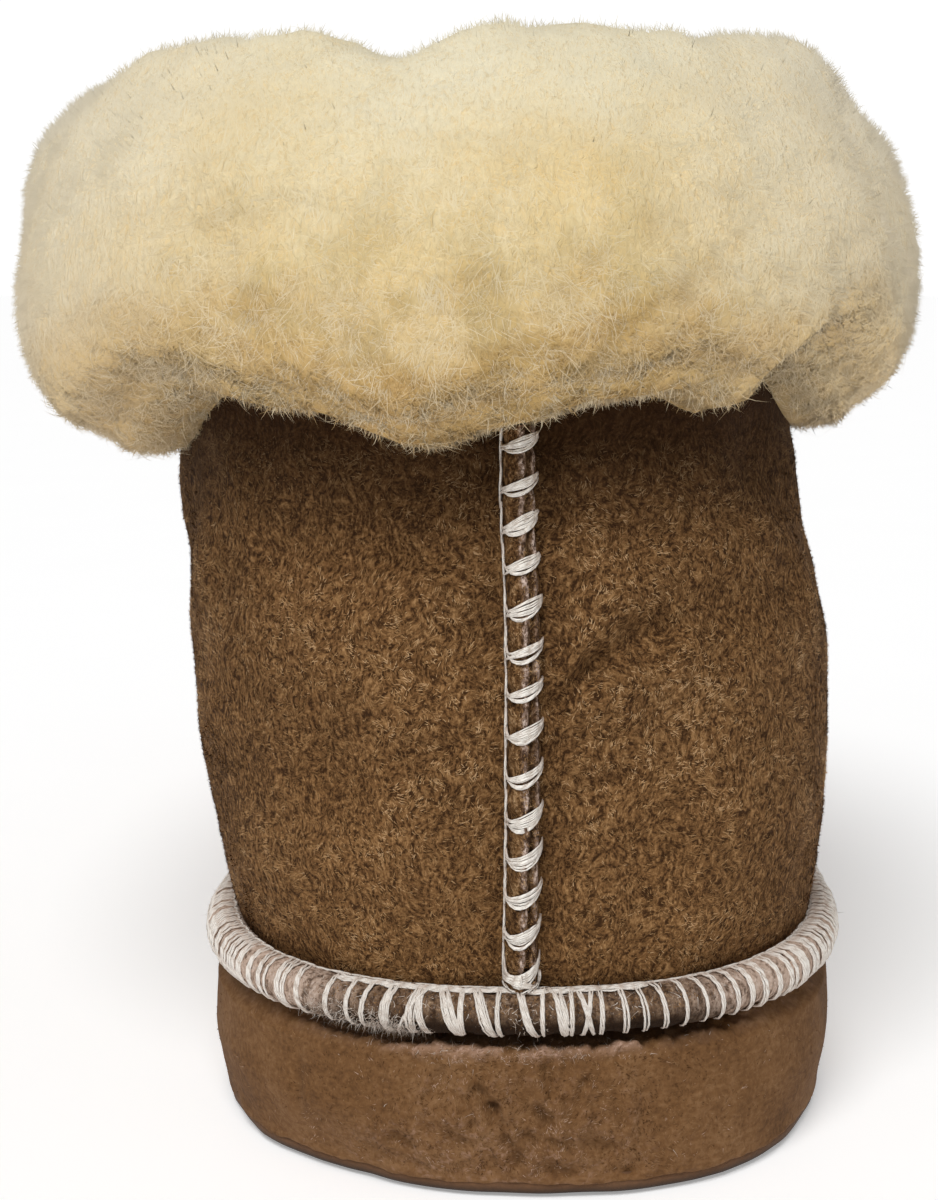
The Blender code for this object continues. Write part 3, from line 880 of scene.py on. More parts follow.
TRACK_POINTS = 400
STITCH_PITCH, WELT_WRAP_PITCH = 4.25, 2.62
RIB_DRAWN_IN = 0.86  # share of the rib's width that its stitches leave
WELT_ROLL = 2.35  # the roll under the thread
PLY_LENGTH = 1.3  # a thread's length for one turn of its plies


def turn_where_straight(levels):
    """The angle, near the back, at which each level lies on the middle plane."""
    low, high = np.full(len(levels), -0.5), np.full(len(levels), 0.5)
    for _ in range(30):
        middle = (low + high) / 2
        left = upper_point(levels, middle)[:, 0] < 0
        low, high = np.where(left, middle, low), np.where(left, high, middle)
    return low


def heel_seam_track():
    levels = np.linspace(HEEL_RIB_FOOT_LEVEL - 0.15, CUFF_FOOT_ENDS + 0.5, TRACK_POINTS)
    turns = turn_where_straight(levels)
    outs = upper_normal(levels, turns)
    points = upper_point(levels, turns) + outs * 0.7 * flare(levels, turns)[:, None]
    up = points[:, 2]
    points[:, 0] -= 0.55 * smooth_step((up - 62) / 14) + 0.25 * smooth_step((42 - up) / 14)
    return Track(points, outs)


def vamp_seam_track():
    t = np.linspace(-1, 1, TRACK_POINTS)
    front = ring_at(VAMP_RIB_TOP_LEVEL).front
    levels = VAMP_RIB_FOOT_LEVEL + (VAMP_RIB_TOP_LEVEL - VAMP_RIB_FOOT_LEVEL) * (1 - np.abs(t) ** 2.2)
    along = VAMP_RIB_AT_WELT + (front - VAMP_RIB_AT_WELT) * (1 - t * t) ** 0.9
    rings = ring_at(levels)
    share = (along - rings.heel) / (rings.front - rings.heel)
    turns = np.arccos(np.clip(1 - 2 * share, -1, 1))
    turns = np.where(t > 0, 2 * math.pi - turns, turns)
    return Track(upper_point(levels, turns), upper_normal(levels, turns))


def welt_track():
    turns = around(TRACK_POINTS * 3)
    across, along = outline(SOLE_RING, turns, WELT_INSET)
    points = np.stack((across, along, sole_top(along) + FIT_GAP + WELT_RADIUS), axis=-1)
    slopes = np.roll(points, -1, axis=0) - np.roll(points, 1, axis=0)
    outs = unit(np.cross(slopes, (0.0, 0.0, 1.0)))
    return Track(points, outs, closed=True)


HEEL_SEAM, VAMP_SEAM, WELT = heel_seam_track(), vamp_seam_track(), welt_track()


def rib_place(track, measure, angle, lift=0.0, gap=FIT_GAP):
    """A place over a rib. angle runs from 0 at its right foot over its top to half a turn."""
    point, _, out, side = track.at(measure)
    wide = (np.cos(angle) * (RIB_HALF * RIB_DRAWN_IN + lift) + RIB_SHIFT)[..., None]
    proud = (np.sin(angle) * (RIB_TALL + lift) + gap)[..., None]
    return point + side * wide + out * proud


def welt_place(measure, angle, lift=0.0):
    """A place over the welt. angle is 0 at its outermost, a quarter turn at its top."""
    point, _, out, down = WELT.at(measure)
    reach = WELT_ROLL + lift
    return point + out * (np.cos(angle) * reach)[..., None] - down * (np.sin(angle) * reach)[..., None]


def ridge(angle, middle, width):
    return bell((angle - middle) / width)


def make_rib(name, track, start, end, step, finish, gap=FIT_GAP):
    """A rolled seam: two cut edges of skin side by side, drawn in by every stitch."""
    measures = np.linspace(start, end, int((end - start) / step))
    angles = np.linspace(0, math.pi, 25)
    measure, angle = np.meshgrid(measures, angles, indexing="ij")
    pinch = (0.5 + 0.5 * np.cos(2 * math.pi * ((measure - start) / STITCH_PITCH + 0.5))) ** 2
    edges = ridge(angle, 1.48, 0.17) + 0.9 * ridge(angle, 0.70, 0.17)
    groove = ridge(angle, 1.10, 0.14)
    lift = 0.20 * edges - 0.40 * groove - 0.30 * pinch
    places = rib_place(track, measure, angle, lift, gap)
    places = places + 0.30 * ripple_vector(places, 1.8) * np.sin(angle)[..., None]
    feet = np.broadcast_to(angles[[0, -1]], (len(measures), 2))
    under = rib_place(track, measure[:, :2], feet, -0.2, gap - 1.0)
    points = np.concatenate((under[:, :1], places, under[:, 1:]), axis=1)[:, ::-1]
    both_feet = ((0, 0), (1, 1))
    values = {label: np.pad(data, both_feet)[:, ::-1] for label, data in (("raw", edges), ("groove", groove))}
    piece = build_skin(f"{name}_roll", Skin(points), finish, values, CLOSED_ENDS)
    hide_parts(name)
    return Skin(points[:, 2:-2], closed_columns=False)


class Sewing:
    """Collects the filaments of many stitches, and makes them one piece."""

    def __init__(self, name, stations, seed):
        self.name, self.rng = name, np.random.default_rng(seed)
        self.t = np.linspace(0, 1, stations)
        self.courses, self.outs, self.radii, self.middles = [], [], [], []

    def filament(self, place, measure, angle, lift, radius, dive=0.35):
        """One filament: place gives its points, and dive is its thickness at the ends."""
        lift = np.broadcast_to(lift, self.t.shape)
        course = place(measure, angle, lift)
        arch = np.sin(math.pi * self.t)
        self.courses.append(course)
        self.outs.append(unit(place(measure, angle, lift + 0.2) - course))
        self.radii.append(radius * (dive + (1 - dive) * arch**0.4))
        self.middles.append(arch**0.7)

    def floss(self, place, middle, angle, lift, widths, filaments, radius, roots=0.0, dive=0.35):
        """Filaments side by side. widths is how far they spread, and roots how far apart they begin."""
        gathered = smooth_step(self.t / 0.38)
        for k in range(filaments):
            share = (k + 0.5) / filaments - 0.5
            begin = roots * (1 if share > 0 else -1) * 0.5
            across = gathered * share * widths + (1 - gathered) * begin
            across = across + self.rng.uniform(-0.06, 0.06) + 0.06 * np.sin(self.t * self.rng.uniform(3, 9))
            raised = lift + 0.10 * (1 - 4 * share * share) * gathered + self.rng.uniform(-0.06, 0.09)
            self.filament(place, middle + across, angle, raised, radius * self.rng.uniform(0.85, 1.15), dive)

    def make(self, finish, sides=5):
        courses, outs = np.array(self.courses), np.array(self.outs)
        radii, middles = np.array(self.radii), np.array(self.middles)
        count, stations = courses.shape[:2]
        ways = unit(np.gradient(courses, axis=1))
        aside = unit(np.cross(ways, outs))
        rise = np.cross(aside, ways)
        angle = around(sides)
        ring = aside[:, :, None] * np.cos(angle)[:, None] + rise[:, :, None] * np.sin(angle)[:, None]
        points = courses[:, :, None] + ring * radii[:, :, None, None]
        steps = np.linalg.norm(np.diff(courses, axis=1), axis=-1)
        measure = np.concatenate((np.zeros((count, 1)), np.cumsum(steps, axis=1)), axis=1)
        twist = measure[:, :, None] / PLY_LENGTH + 2 * np.abs(np.arange(sides) / sides - 0.5)
        base = (np.arange(count) * stations * sides)[:, None, None, None]
        s = np.arange(stations - 1)[None, :, None, None] * sides
        a = np.arange(sides)[None, None, :, None]
        b = (a + 1) % sides
        quads = base + np.concatenate((s + a, s + a + sides, s + b + sides, s + b), axis=-1)
        values = {"twist": twist.reshape(-1), "middle": np.repeat(middles.reshape(-1), sides)}
        return build(self.name, points.reshape(-1, 3), [quads.reshape(-1, 4)], finish, values)


def sew_rib(name, track, start, end, finish, seed, gap=FIT_GAP, tidy_from=12.0):
    """Leaf-shaped stitches: threads leave the lock thread apart, swell over the rib and dive at its right."""
    close_up = gap == FIT_GAP
    many, thick = (8, 0.105) if close_up else (4, 0.16)
    sewing = Sewing(f"{name}_stitches", 12 if close_up else 8, seed)
    rng, t = sewing.rng, sewing.t

    def place(measure, angle, lift):
        return rib_place(track, measure, angle, lift, gap)

    angle = math.pi * (1.0 - 1.02 * t)
    for middle in np.arange(start + STITCH_PITCH * 0.6, end, STITCH_PITCH):
        middle += rng.uniform(-0.25, 0.25)
        low = 1 - smooth_step((middle - start) / tidy_from)
        rise = rng.uniform(1.6, 2.2) * (1 - 0.4 * low)
        sag = rng.uniform(0.40, 0.70) + 0.45 * low
        course = middle + rise * (t - 0.5) - sag * np.sin(math.pi * t**0.75)
        widths = rng.uniform(0.9, 1.35) * (0.12 + 0.88 * np.sin(math.pi * t**1.3) ** 1.3)
        sewing.floss(place, course + 0.30, angle, 0.10, widths, many, thick, roots=rng.uniform(0.1, 0.8))
        hook = rng.uniform(1.2, 2.0) * (1 - t) ** 3
        hook = hook - rng.uniform(0.85, 1.25) * np.sin(math.pi * t**0.8) * (1 - 0.35 * t)
        fewer = many // 2 - rng.integers(0, 2)
        sewing.floss(place, course + hook, angle, 0.08, 0.36 * np.sin(math.pi * t), fewer, thick)
    sewing.make(finish)


def lock_thread(
    name, place, angle, stretch, pitch, finish, seed,
    radius, filaments=2, arch=0.15, sway=0.0, spread=0.07, unshaded=0.55,
):
    """The thread beside a seam that holds its stitches: one link from each stitch to the next."""
    sewing = Sewing(name, 6, seed)
    rng, t = sewing.rng, sewing.t
    for first in np.arange(*stretch, pitch):
        bow = angle + arch * np.sin(math.pi * t) * rng.uniform(0.5, 1.3)
        for _ in range(filaments):
            wander = rng.uniform(-spread, spread, 2)
            measure = first + pitch * 1.15 * t
            drift = wander[0] * (1 - t) + wander[1] * t + sway * np.sin(t * math.pi * 1.7 + rng.uniform(0, 1))
            sewing.filament(place, measure, bow + drift, 0.12 + rng.uniform(-0.06, 0.06), radius, 0.62)
    # The ends of each link take less painted shade: middle stays at least unshaded.
    sewing.middles = [unshaded + (1 - unshaded) * middle for middle in sewing.middles]
    sewing.make(finish, sides=4)


def tie_off(name, place, finish, seed):
    """The thick turns of thread in which a seam ends at its foot."""
    sewing = Sewing(name, 8, seed)
    rng, t = sewing.rng, sewing.t
    for low in (0.35, 0.65):
        course = low + 1.25 * np.sin(math.pi * t) ** 0.8 + 0.1 * t
        sewing.floss(place, course, math.pi * (1.03 - 0.80 * t), 0.12, 0.3 + 0 * t, 5, 0.11)
    sewing.floss(place, 1.2 + 1.5 * t, math.pi * (0.52 - 0.03 * t), 0.12, 0.1 + 0 * t, 3, 0.11)
    sewing.floss(place, 0.3 + 1.6 * t, math.pi * (0.08 - 0.02 * t), 0.12, 0.1 + 0 * t, 3, 0.11)
    for _ in range(5):
        angle = math.pi * (rng.uniform(0.2, 0.9) + 0.12 * np.sin(t * 6))
        sewing.filament(place, rng.uniform(0, 0.6) + rng.uniform(0.3, 0.9) * t, angle, 0.25, 0.08)
    sewing.make(finish)


def make_seam(name, track, finishes, seed, start, end, step, gap=FIT_GAP):
    """A rolled seam with its nap, its stitches and the thread that holds them."""
    rib_finish, nap_finish, thread_finish = finishes
    roll = make_rib(name, track, start, end, step, rib_finish, gap)
    count = int((end - start) * (75 if step < 0.5 else 30))
    plant_nap(f"{name}_nap", roll, nap_finish, seed + 2, count=count, length=0.5)
    sew_rib(name, track, start, end, thread_finish, seed, gap)

    def place(measure, angle, lift):
        return rib_place(track, measure, angle, lift, gap + 0.15)

    lock_thread(
        f"{name}_lock_thread", place, 0.985 * math.pi, (start, end), STITCH_PITCH, thread_finish, seed + 1,
        radius=0.15, arch=0.04, sway=0.17, unshaded=0.30,
    )

    def place_from_end(measure, angle, lift):
        return place(start + measure, angle, lift)

    if name == "heel_rib":
        tie_off(f"{name}_knot", place_from_end, thread_finish, 109)


# ---------------------------------------------------------------- welt

# The wraps at the heel, where the sewing was begun and ended by hand: distance from the back seam, how
# far the wrap's top and its foot stand from its middle, its width, and its number of threads.
Wrap = namedtuple("Wrap", "place top foot width threads")
HEEL_WRAPS = (
    Wrap(-21.4, 0.9, 0.6, 0.6, 2), Wrap(-18.9, 1.0, 0.8, 0.5, 2), Wrap(-17.1, 1.5, 0.3, 0.4, 2),
    Wrap(-14.8, 1.9, 0.9, 1.1, 4), Wrap(-12.2, 2.2, 1.0, 0.9, 3), Wrap(-11.0, 0.4, 1.4, 0.6, 2),
    Wrap(-11.9, 3.2, -1.6, 0.2, 1), Wrap(-7.4, -1.6, 1.0, 1.2, 4), Wrap(-6.3, -0.2, 0.1, 0.5, 2),
    Wrap(-4.3, -1.0, 1.5, 1.0, 4), Wrap(-3.1, 0.9, 1.0, 0.5, 2), Wrap(-0.2, -0.5, 1.9, 0.8, 3),
    Wrap(1.8, 0.4, 0.6, 0.3, 1), Wrap(4.1, -1.1, 0.5, 1.1, 4), Wrap(5.0, -0.1, 0.1, 0.4, 2),
    Wrap(6.3, -1.0, 1.4, 0.6, 3), Wrap(6.6, 0.9, -0.4, 0.4, 2), Wrap(8.0, 0.0, 0.2, 0.5, 2),
)
HEEL_WRAPS_FROM, HEEL_WRAPS_TO = -23.0, 9.0
HEEL_THREAD = (-21.0, 13.0)  # the stretch where a thick strand runs along the welt's top


def sew_welt(finish):
    """Overcast thread round the whole welt: even, but for the stretch at the heel."""
    sewing = Sewing("welt_wraps", 9, 31)
    rng, t = sewing.rng, sewing.t
    over = math.radians(122) - math.radians(205) * t

    def wrap(place, top, foot, width, filaments):
        course = place + top * (1 - t) ** 2 + foot * t**2
        widths = width * (0.45 + 0.55 * np.sin(math.pi * t**1.3))
        thick = 0.165 if filaments < 4 else 0.125
        roots = 0.3 + width * 0.8
        sewing.floss(welt_place, course, over, 0.10, widths, filaments, thick, roots=roots, dive=0.6)

    for row in HEEL_WRAPS:
        wrap(row.place, row.top, row.foot, row.width, row.threads * 2)
    place = HEEL_WRAPS_TO + 1.4
    while place < WELT.length + HEEL_WRAPS_FROM - 1.0:
        doubled = rng.random() < (0.8 if place > WELT.length / 2 else 0.05 if place < 26 else 0.6)
        round_the_side = min(place, WELT.length - place) < 110 and not 9 < place < 24
        width, filaments = (rng.uniform(0.65, 0.95), 3) if round_the_side else (rng.uniform(0.40, 0.60), 2)
        wrap(place, rng.uniform(-0.9, -0.4), rng.uniform(0.3, 0.9), width, filaments)
        if doubled:
            wrap(place + rng.uniform(0.75, 1.0), rng.uniform(-0.5, 0.0), rng.uniform(0.2, 0.9), 0.4, 2)
        place += WELT_WRAP_PITCH * rng.uniform(0.76, 1.02) * (1.25 if doubled else 0.9)
    sewing.make(finish, sides=4)


def welt_at_heel(places, half_width, fade):
    """1 on the welt behind the heel, fading out at half_width to the sides."""
    behind = smooth_step((30 - places[..., 1]) / 10)
    return smooth_step((half_width - np.abs(places[..., 0])) / fade) * behind


def make_welt(rib_finish, nap_finish, thread_finish):
    """The rolled edge: worn pale round the sides, soiled at the heel under the uneven sewing, with painted
    shade down the roll's underside there.
    """
    measures = np.linspace(0, WELT.length, 760)[:-1]
    angles = -around(18)
    measure, angle = np.meshgrid(measures, angles, indexing="ij")
    slack = 0.10 * np.cos(2 * math.pi * measure / WELT_WRAP_PITCH)
    places = welt_place(measure, angle, slack)
    places = places + 0.30 * ripple_vector(places, 2.6)
    worn = 0.14 + 0.90 * smooth_step((np.abs(places[..., 0]) - 14) / 14)
    worn = worn * (0.45 + 0.55 * smooth_step((places[..., 2] - 18.5) / 2.5))
    edges = np.maximum(worn, 0.7 * ridge(angle, math.radians(100) - 2 * math.pi, 0.3))
    skin = Skin(places, closed_rows=True)
    # Soil at the heel, and painted shade deepening down the roll's underside.
    dirt_and_shade = welt_at_heel(places, 27, 12) * (0.30 + 0.9 * smooth_step((22.0 - places[..., 2]) / 2.4))
    piece = build_skin("welt_roll", skin, rib_finish, {"raw": edges, "groove": dirt_and_shade * 1.15})
    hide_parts("welt")

    def shade(roots):
        return welt_at_heel(roots, 30, 10) * (0.28 + 0.50 * smooth_step((21.8 - roots[:, 2]) / 2.0))

    def weigh(places, outs):
        return 0.02 + welt_at_heel(places, 27, 9)

    plant_nap("welt_nap", skin, nap_finish, 33, count=6000, length=0.40, weigh=weigh, shade=shade)
    sew_welt(thread_finish)
    lock_thread(
        "welt_lock_thread", welt_place, math.radians(106), (0.0, WELT.length), WELT_WRAP_PITCH,
        thread_finish, 41, radius=0.15, arch=0.12,
    )
    lock_thread(
        "welt_heel_thread", welt_place, math.radians(88), HEEL_THREAD, WELT_WRAP_PITCH,
        thread_finish, 43, radius=0.13, filaments=12, arch=-0.16, spread=0.20,
    )


# ---------------------------------------------------------------- sole


def heel_centre(points, reach_side, reach_up, middle=(0.0, 0.0, 10.0)):
    """1 at the back of the heel, fading over the given reaches to the sides and up."""
    aside = (points[..., 0] - middle[0]) / reach_side
    up = (points[..., 2] - middle[2]) / reach_up
    behind = smooth_step((20 - points[..., 1]) / 15)
    return np.exp(-(aside**2) - up**2) * behind


WRAP_FOOT = 1.35
CREASE_RIDGE_PLACE = 1.8  # the ridge beside a crease, in its widths

# Creases of the sole's suede at the back of the heel: from one place to another, as distances from the
# back seam's plane and over the floor.
Crease = namedtuple("Crease", "aside up to_aside to_up width depth")
CREASES = (
    Crease(-2.9, 10.8, -0.3, 4.2, 0.7, 0.75),
    Crease(-4.6, 12.8, -3.0, 10.9, 0.6, 0.45),
    Crease(2.4, 10.4, 2.8, 9.0, 0.8, 0.60),
    Crease(2.7, 15.2, 3.2, 11.8, 0.6, 0.45),
    Crease(6.9, 6.3, 9.2, 5.4, 1.3, 0.60),
    Crease(-13.4, 6.5, -12.2, 5.9, 1.0, 0.50),
    Crease(-9.9, 8.1, -6.3, 6.6, 1.0, 0.45),
    Crease(6.9, 13.6, 5.9, 10.4, 0.6, 0.45),
    Crease(-8.4, 14.8, -9.6, 11.8, 0.6, 0.40),
    Crease(10.2, 13.0, 11.0, 8.8, 0.7, 0.35),
    Crease(-16.5, 4.7, -11.3, 3.4, 1.1, 0.35),
    Crease(3.4, 3.5, 11.8, 2.9, 1.0, 0.40),
    Crease(0.6, 7.6, 4.8, 6.4, 0.8, 0.35),
    Crease(-6.5, 12.2, -5.2, 8.6, 0.6, 0.35),
)

# How far the sole's foot was trimmed in by hand, in millimetres, at angles in degrees round the foot.
SOLE_TRIM = np.array((
    (-180, 0.4), (-44, 0.3), (-36, 0.8), (-28, 1.1), (-21, 1.9), (-14, 2.3), (-7, 1.5), (0, 1.0),
    (10, 0.4), (18, 0.0), (24, 0.2), (32, 0.6), (44, 0.4), (180, 0.4),
))


def trimmed_in(turn, share):
    """How much the sole was trimmed in, fading up from its foot."""
    return np.interp(degrees_round(turn), *SOLE_TRIM.T) * smooth_step((0.5 - share) / 0.5)


def glued_relief(places, at_heel):
    """How far the glued suede stands out: broad waves, and puckers and broken creases at the heel."""
    middle = heel_centre(places, 15.0, 9.0)
    relief = 0.30 * ripple(places, 9.0) + 0.08 * ripple(places, 2.5)
    puckers = 0.58 * ripple(places * (1, 1, 0.45), 2.6, 3.0)
    relief += middle * (puckers + 0.42 * ripple(places * (1, 1, 0.7), 1.2, 8.0))
    broken = 0.35 + 0.65 * smooth_step(0.5 + 0.5 * ripple(places, 1.7, 11.0))
    wander = 0.42 * ripple(places, 1.5, 5.0)
    for crease in CREASES:
        start, end = np.array((crease.aside, crease.up)), np.array((crease.to_aside, crease.to_up))
        away = (distance_to(places[..., [0, 2]], start, end) + wander) / crease.width
        cut = 1.6 * bell(away) - 0.9 * bell(away - CREASE_RIDGE_PLACE)
        relief -= at_heel * broken * crease.depth * cut
    return relief


def torn_lip(places, share, at_heel):
    """Where the wrap's upper edge is torn into a lip, and how far share lies above that lip."""
    edge = places * (1, 1, 0)
    lip_place = 0.915 + 0.034 * ripple(edge, 2.4, 4.0) + 0.026 * ripple(edge, 0.9, 14.0)
    lip = bump(share - lip_place, 0.055) * smooth_step((17 - np.abs(places[..., 0])) / 6) * at_heel
    return lip, smooth_step((share - lip_place - 0.03) / 0.03)


def make_wrap(finish):
    """The foam wedge's suede: glued on with fine puckers at the heel, its upper edge left raw and ragged."""
    turns = closer_at_heel(around(560), 0.6)
    stretches = (np.linspace(0, 0.1, 5), np.linspace(0.1, 0.84, 33)[1:], np.linspace(0.84, 1, 9)[1:])
    share, turn = np.meshgrid(np.concatenate(stretches), turns, indexing="ij")
    inset = np.interp(share, (0, 0.02, 0.5, 0.86, 1), (0.75, 0.1, -SIDE_BULGE, -0.1, 1.6))
    across, along = outline(SOLE_RING, turn, inset + trimmed_in(turn, share))
    up = sole_floor(along) + WRAP_FOOT + share * (sole_stack(along) - WRAP_FOOT)
    places = np.stack((across, along, up), axis=-1)
    torn = 0.30 * ripple(places, 4.0, 12.0) + 0.22 * ripple(places, 1.2, 15.0)
    places[..., 2] += torn * smooth_step((0.10 - share) / 0.10)
    skin = Skin(places)
    at_heel = smooth_step((14 - places[..., 1]) / 8)
    relief = glued_relief(places, at_heel)
    ragged = ripple(places * (1, 1, 0.2), 3.0, 2.0) + 0.6 * ripple(places, 1.1, 6.0)
    lip, above_lip = torn_lip(places, share, at_heel)
    relief += lip * (0.85 + 0.70 * ragged) - 1.0 * above_lip * at_heel
    relief += smooth_step((share - 0.80) / 0.15) * (0.12 + 0.20 * ragged) * 0.35
    dent = bell((places[..., 0] + 24.5) / 0.7) * smooth_step((22 - places[..., 1]) / 10)
    relief -= 0.5 * dent * bump(share - 0.55, 0.35)
    proud = (relief - 0.30 * ripple(places, 9.0)) * at_heel * smooth_step((0.9 - share) / 0.05)
    skin = skin.moved(relief * (0.3 + 0.7 * smooth_step(share / 0.1)))
    raw = np.maximum(smooth_step((share - 0.86) / 0.08) * 0.25, lip * 1.35) * smooth_step(0.55 + ragged)
    raw = np.maximum(raw, smooth_step((0.03 - share) / 0.02) * smooth_step(torn / 0.3) * 0.8)
    scuffed = heel_centre(places, 15.0, 5.5, (-3.0, 0, 4.5)) * 0.9
    values = {
        "raw": raw,
        "scuff": np.clip(scuffed + proud * 1.0, 0, 1),
        # Painted shade in the hollows of the creases at the heel.
        "hollow": np.clip(-proud * 1.1 - 0.18, 0, 0.75),
    }
    piece = build_skin("sole_wrap", skin, finish, values, CLOSED_ENDS)
    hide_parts("midsole")
    return skin


def make_wrap_nap(skin):
    """Short nap on the scuffed heel of the wrap, and a paler one on its torn edge."""

    def weigh(places, outs):
        return heel_centre(places, 17.0, 12.0, (-1.0, 0, 9.0)) + 0.02

    def weigh_edge(places, outs):
        return heel_centre(places, 11.0, 0.7, (0.0, 0, 16.6))

    face, nap, edge_nap = skin.part(slice(3, -6)), wrap_fibre(), wrap_fibre("wrap_edge_nap", paler=0.3)
    plant_nap("wrap_nap", face, nap, 51, count=9000, length=0.55, weigh=weigh)
    plant_nap("wrap_edge_nap", skin, edge_nap, 53, count=1300, length=0.4, weigh=weigh_edge)


def make_outsole(finish):
    """A thin plain sheet of dark rubber, trimmed by hand and worn at its edge."""
    turns = around(420)
    layers = ((1.9, 0.0), (0.7, 0.35), (0.45, 0.7), (0.35, 1.3), (0.5, OUTSOLE_THICK))  # inset and height
    rows = []
    for inset, lift in layers:
        across, along = outline(SOLE_RING, turns, inset + trimmed_in(turns, 0.0))
        rows.append(np.stack((across, along, sole_floor(along) + lift), axis=-1))
    places = np.array(rows)
    skin = Skin(places)
    trimmed = 0.22 * ripple(places, 5.0) + 0.18 * ripple(places, 12.0, 4.0)
    skin = skin.moved(trimmed * np.array((0, 0.5, 1, 1, 0.6))[:, None])
    band = np.broadcast_to(np.array((0, 0.0, 0.3, 1.0, 1.0))[:, None], places.shape[:2])
    piece = build_skin("outsole_sheet", skin, finish, {"band": band}, CLOSED_ENDS)
    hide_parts("outsole")


# ---------------------------------------------------------------- wool


# How far the cuff's hanging edge is drawn up from its lowest, in millimetres, at angles in degrees round
# the foot.
FOOT_RAISED = np.array((
    (-180, 1.5), (-140, 2.5), (-110, 1.0), (-85, 2.0), (-60, -0.4), (-47, -0.5), (-40, 3.4), (-34, 6.7),
    (-29, 6.5), (-25, 5.7), (-21, 4.5), (-16, 4.4), (-12, 3.2), (-9, 1.6), (-6, 0.4), (-4, -0.3), (-2, 0.8),
    (0, 2.1), (2, 2.4), (5, 2.8), (8, 4.2), (11, 5.0), (14, 5.0), (17, 5.1), (20, 6.3), (23, 5.3), (27, 3.6),
    (31, 5.2), (35, 8.8), (39, 10.4), (44, 7.8), (49, 3.2), (56, 1.6), (75, 1.2), (100, 2.4), (130, 0.8),
    (155, 2.2), (180, 1.5),
))


def cuff_section(turns):
    """The cuff's section at each angle: from its foot up, over the rim and back down the upper."""
    side = np.sin(turns)
    pile = 1 + (INNER_PILE - 1) * np.maximum(-side, 0) + (OUTER_PILE - 1) * np.maximum(side, 0)
    raised = np.interp(degrees_round(turns), *FOOT_RAISED.T)
    raised = (np.roll(raised, 1) + raised * 2 + np.roll(raised, -1)) / 4
    foot = CUFF_FOOT_ENDS + (CUFF_FOOT_SIDES - CUFF_FOOT_ENDS) * side**2 + raised / 10.0
    levelled = 1 - 0.65 * smooth_step((-np.cos(turns) - 0.1) / 0.6)
    rows = []
    for down, away in CUFF_HANGING:
        level = TOP_LEVEL + (foot - TOP_LEVEL) * down
        out = upper_normal(level, turns)
        out[:, 2] *= levelled
        rows.append(upper_point(level, turns) + unit(out) * (away * pile)[:, None])
    top = np.full(turns.shape, float(TOP_LEVEL))
    rim, out = upper_point(top, turns), unit(upper_normal(top, turns) * (1, 1, 0))
    for up, away in CUFF_OVER_RIM:
        reach = away * pile if away > 0 else np.full(turns.shape, away)
        rows.append(rim + out * reach[:, None] + (0, 0, up))
    for level in CUFF_BACKING_LEVELS + (0.0,):
        level = np.maximum(level, foot + 0.06)
        rows.append(upper_point(level, turns) + upper_normal(level, turns) * CUFF_GAP)
    return np.array(rows)


def smoothed(rows, steps):
    """A closed smooth curve through rows of points, with that many steps between rows."""
    before, after, beyond = np.roll(rows, 1, 0), np.roll(rows, -1, 0), np.roll(rows, -2, 0)
    t = (np.arange(steps) / steps)[None, :, None, None]
    ends = (rows, after, (after - before) / 2, (beyond - rows) / 2)
    curve = on_curve(*(end[:, None] for end in ends), t)
    return curve.reshape(-1, *rows.shape[1:])


PILE_DEPTH, LINING_DEPTH = 1.5, 5.4
MOUTH_MIDDLE, BACK_AND_UP = (-4.0, 62.0, 0.0), (0, -0.85, 0.5)
SECTION_STEPS = 5
EXPOSED_ROWS = (len(CUFF_HANGING) + len(CUFF_OVER_RIM) - 1) * SECTION_STEPS

# Lumps in the cuff's roll: turn in degrees, share of the way from its foot to the inside of the mouth,
# reach in millimetres and how far the lump stands out.
Lump = namedtuple("Lump", "turn share reach out")
LUMPS = (
    Lump(7, 0.66, 10, 2.7),
    Lump(-8, 0.68, 6, -1.7),
    Lump(-14, 0.68, 5, 0.9),
    Lump(-2, 0.68, 4, 0.8),
    Lump(16, 0.68, 6, 1.1),
    Lump(25, 0.68, 7, 1.3),
    Lump(37, 0.66, 9, 1.9),
    Lump(-20, 0.68, 6, 1.3),
    Lump(-38, 0.66, 9, 1.8),
    Lump(-70, 0.50, 10, 0.4),
    Lump(-52, 0.66, 9, -1.4),
    Lump(72, 0.56, 9, -2.2),
    Lump(50, 0.65, 7, 2.0),
    Lump(66, 0.26, 9, 1.2),
    Lump(-60, 0.14, 10, 0.6),
    Lump(58, 0.14, 9, -0.7),
    Lump(62, 0.47, 10, 0.1),
    Lump(-62, 0.54, 17, -1.4),
    Lump(-5, 0.14, 8, 1.3),
    Lump(-22, 0.16, 7, -1.0),
    Lump(16, 0.16, 8, -0.3),
    Lump(-42, 0.16, 12, 1.0),
    Lump(40, 0.18, 10, 0.8),
    Lump(-20, 0.40, 9, 0.8),
    Lump(12, 0.36, 9, 0.6),
    Lump(-5.5, 0.30, 3.4, -1.3),
    Lump(-2.0, 0.23, 3.2, -1.3),
    Lump(-21, 0.31, 3.8, -1.1),
    Lump(-13, 0.26, 4.0, 0.8),
    Lump(11, 0.24, 3.6, -0.7),
    Lump(4, 0.28, 4.5, 0.8),
    Lump(19, 0.30, 3.8, -0.7),
    Lump(15, 0.22, 4.0, 0.8),
)


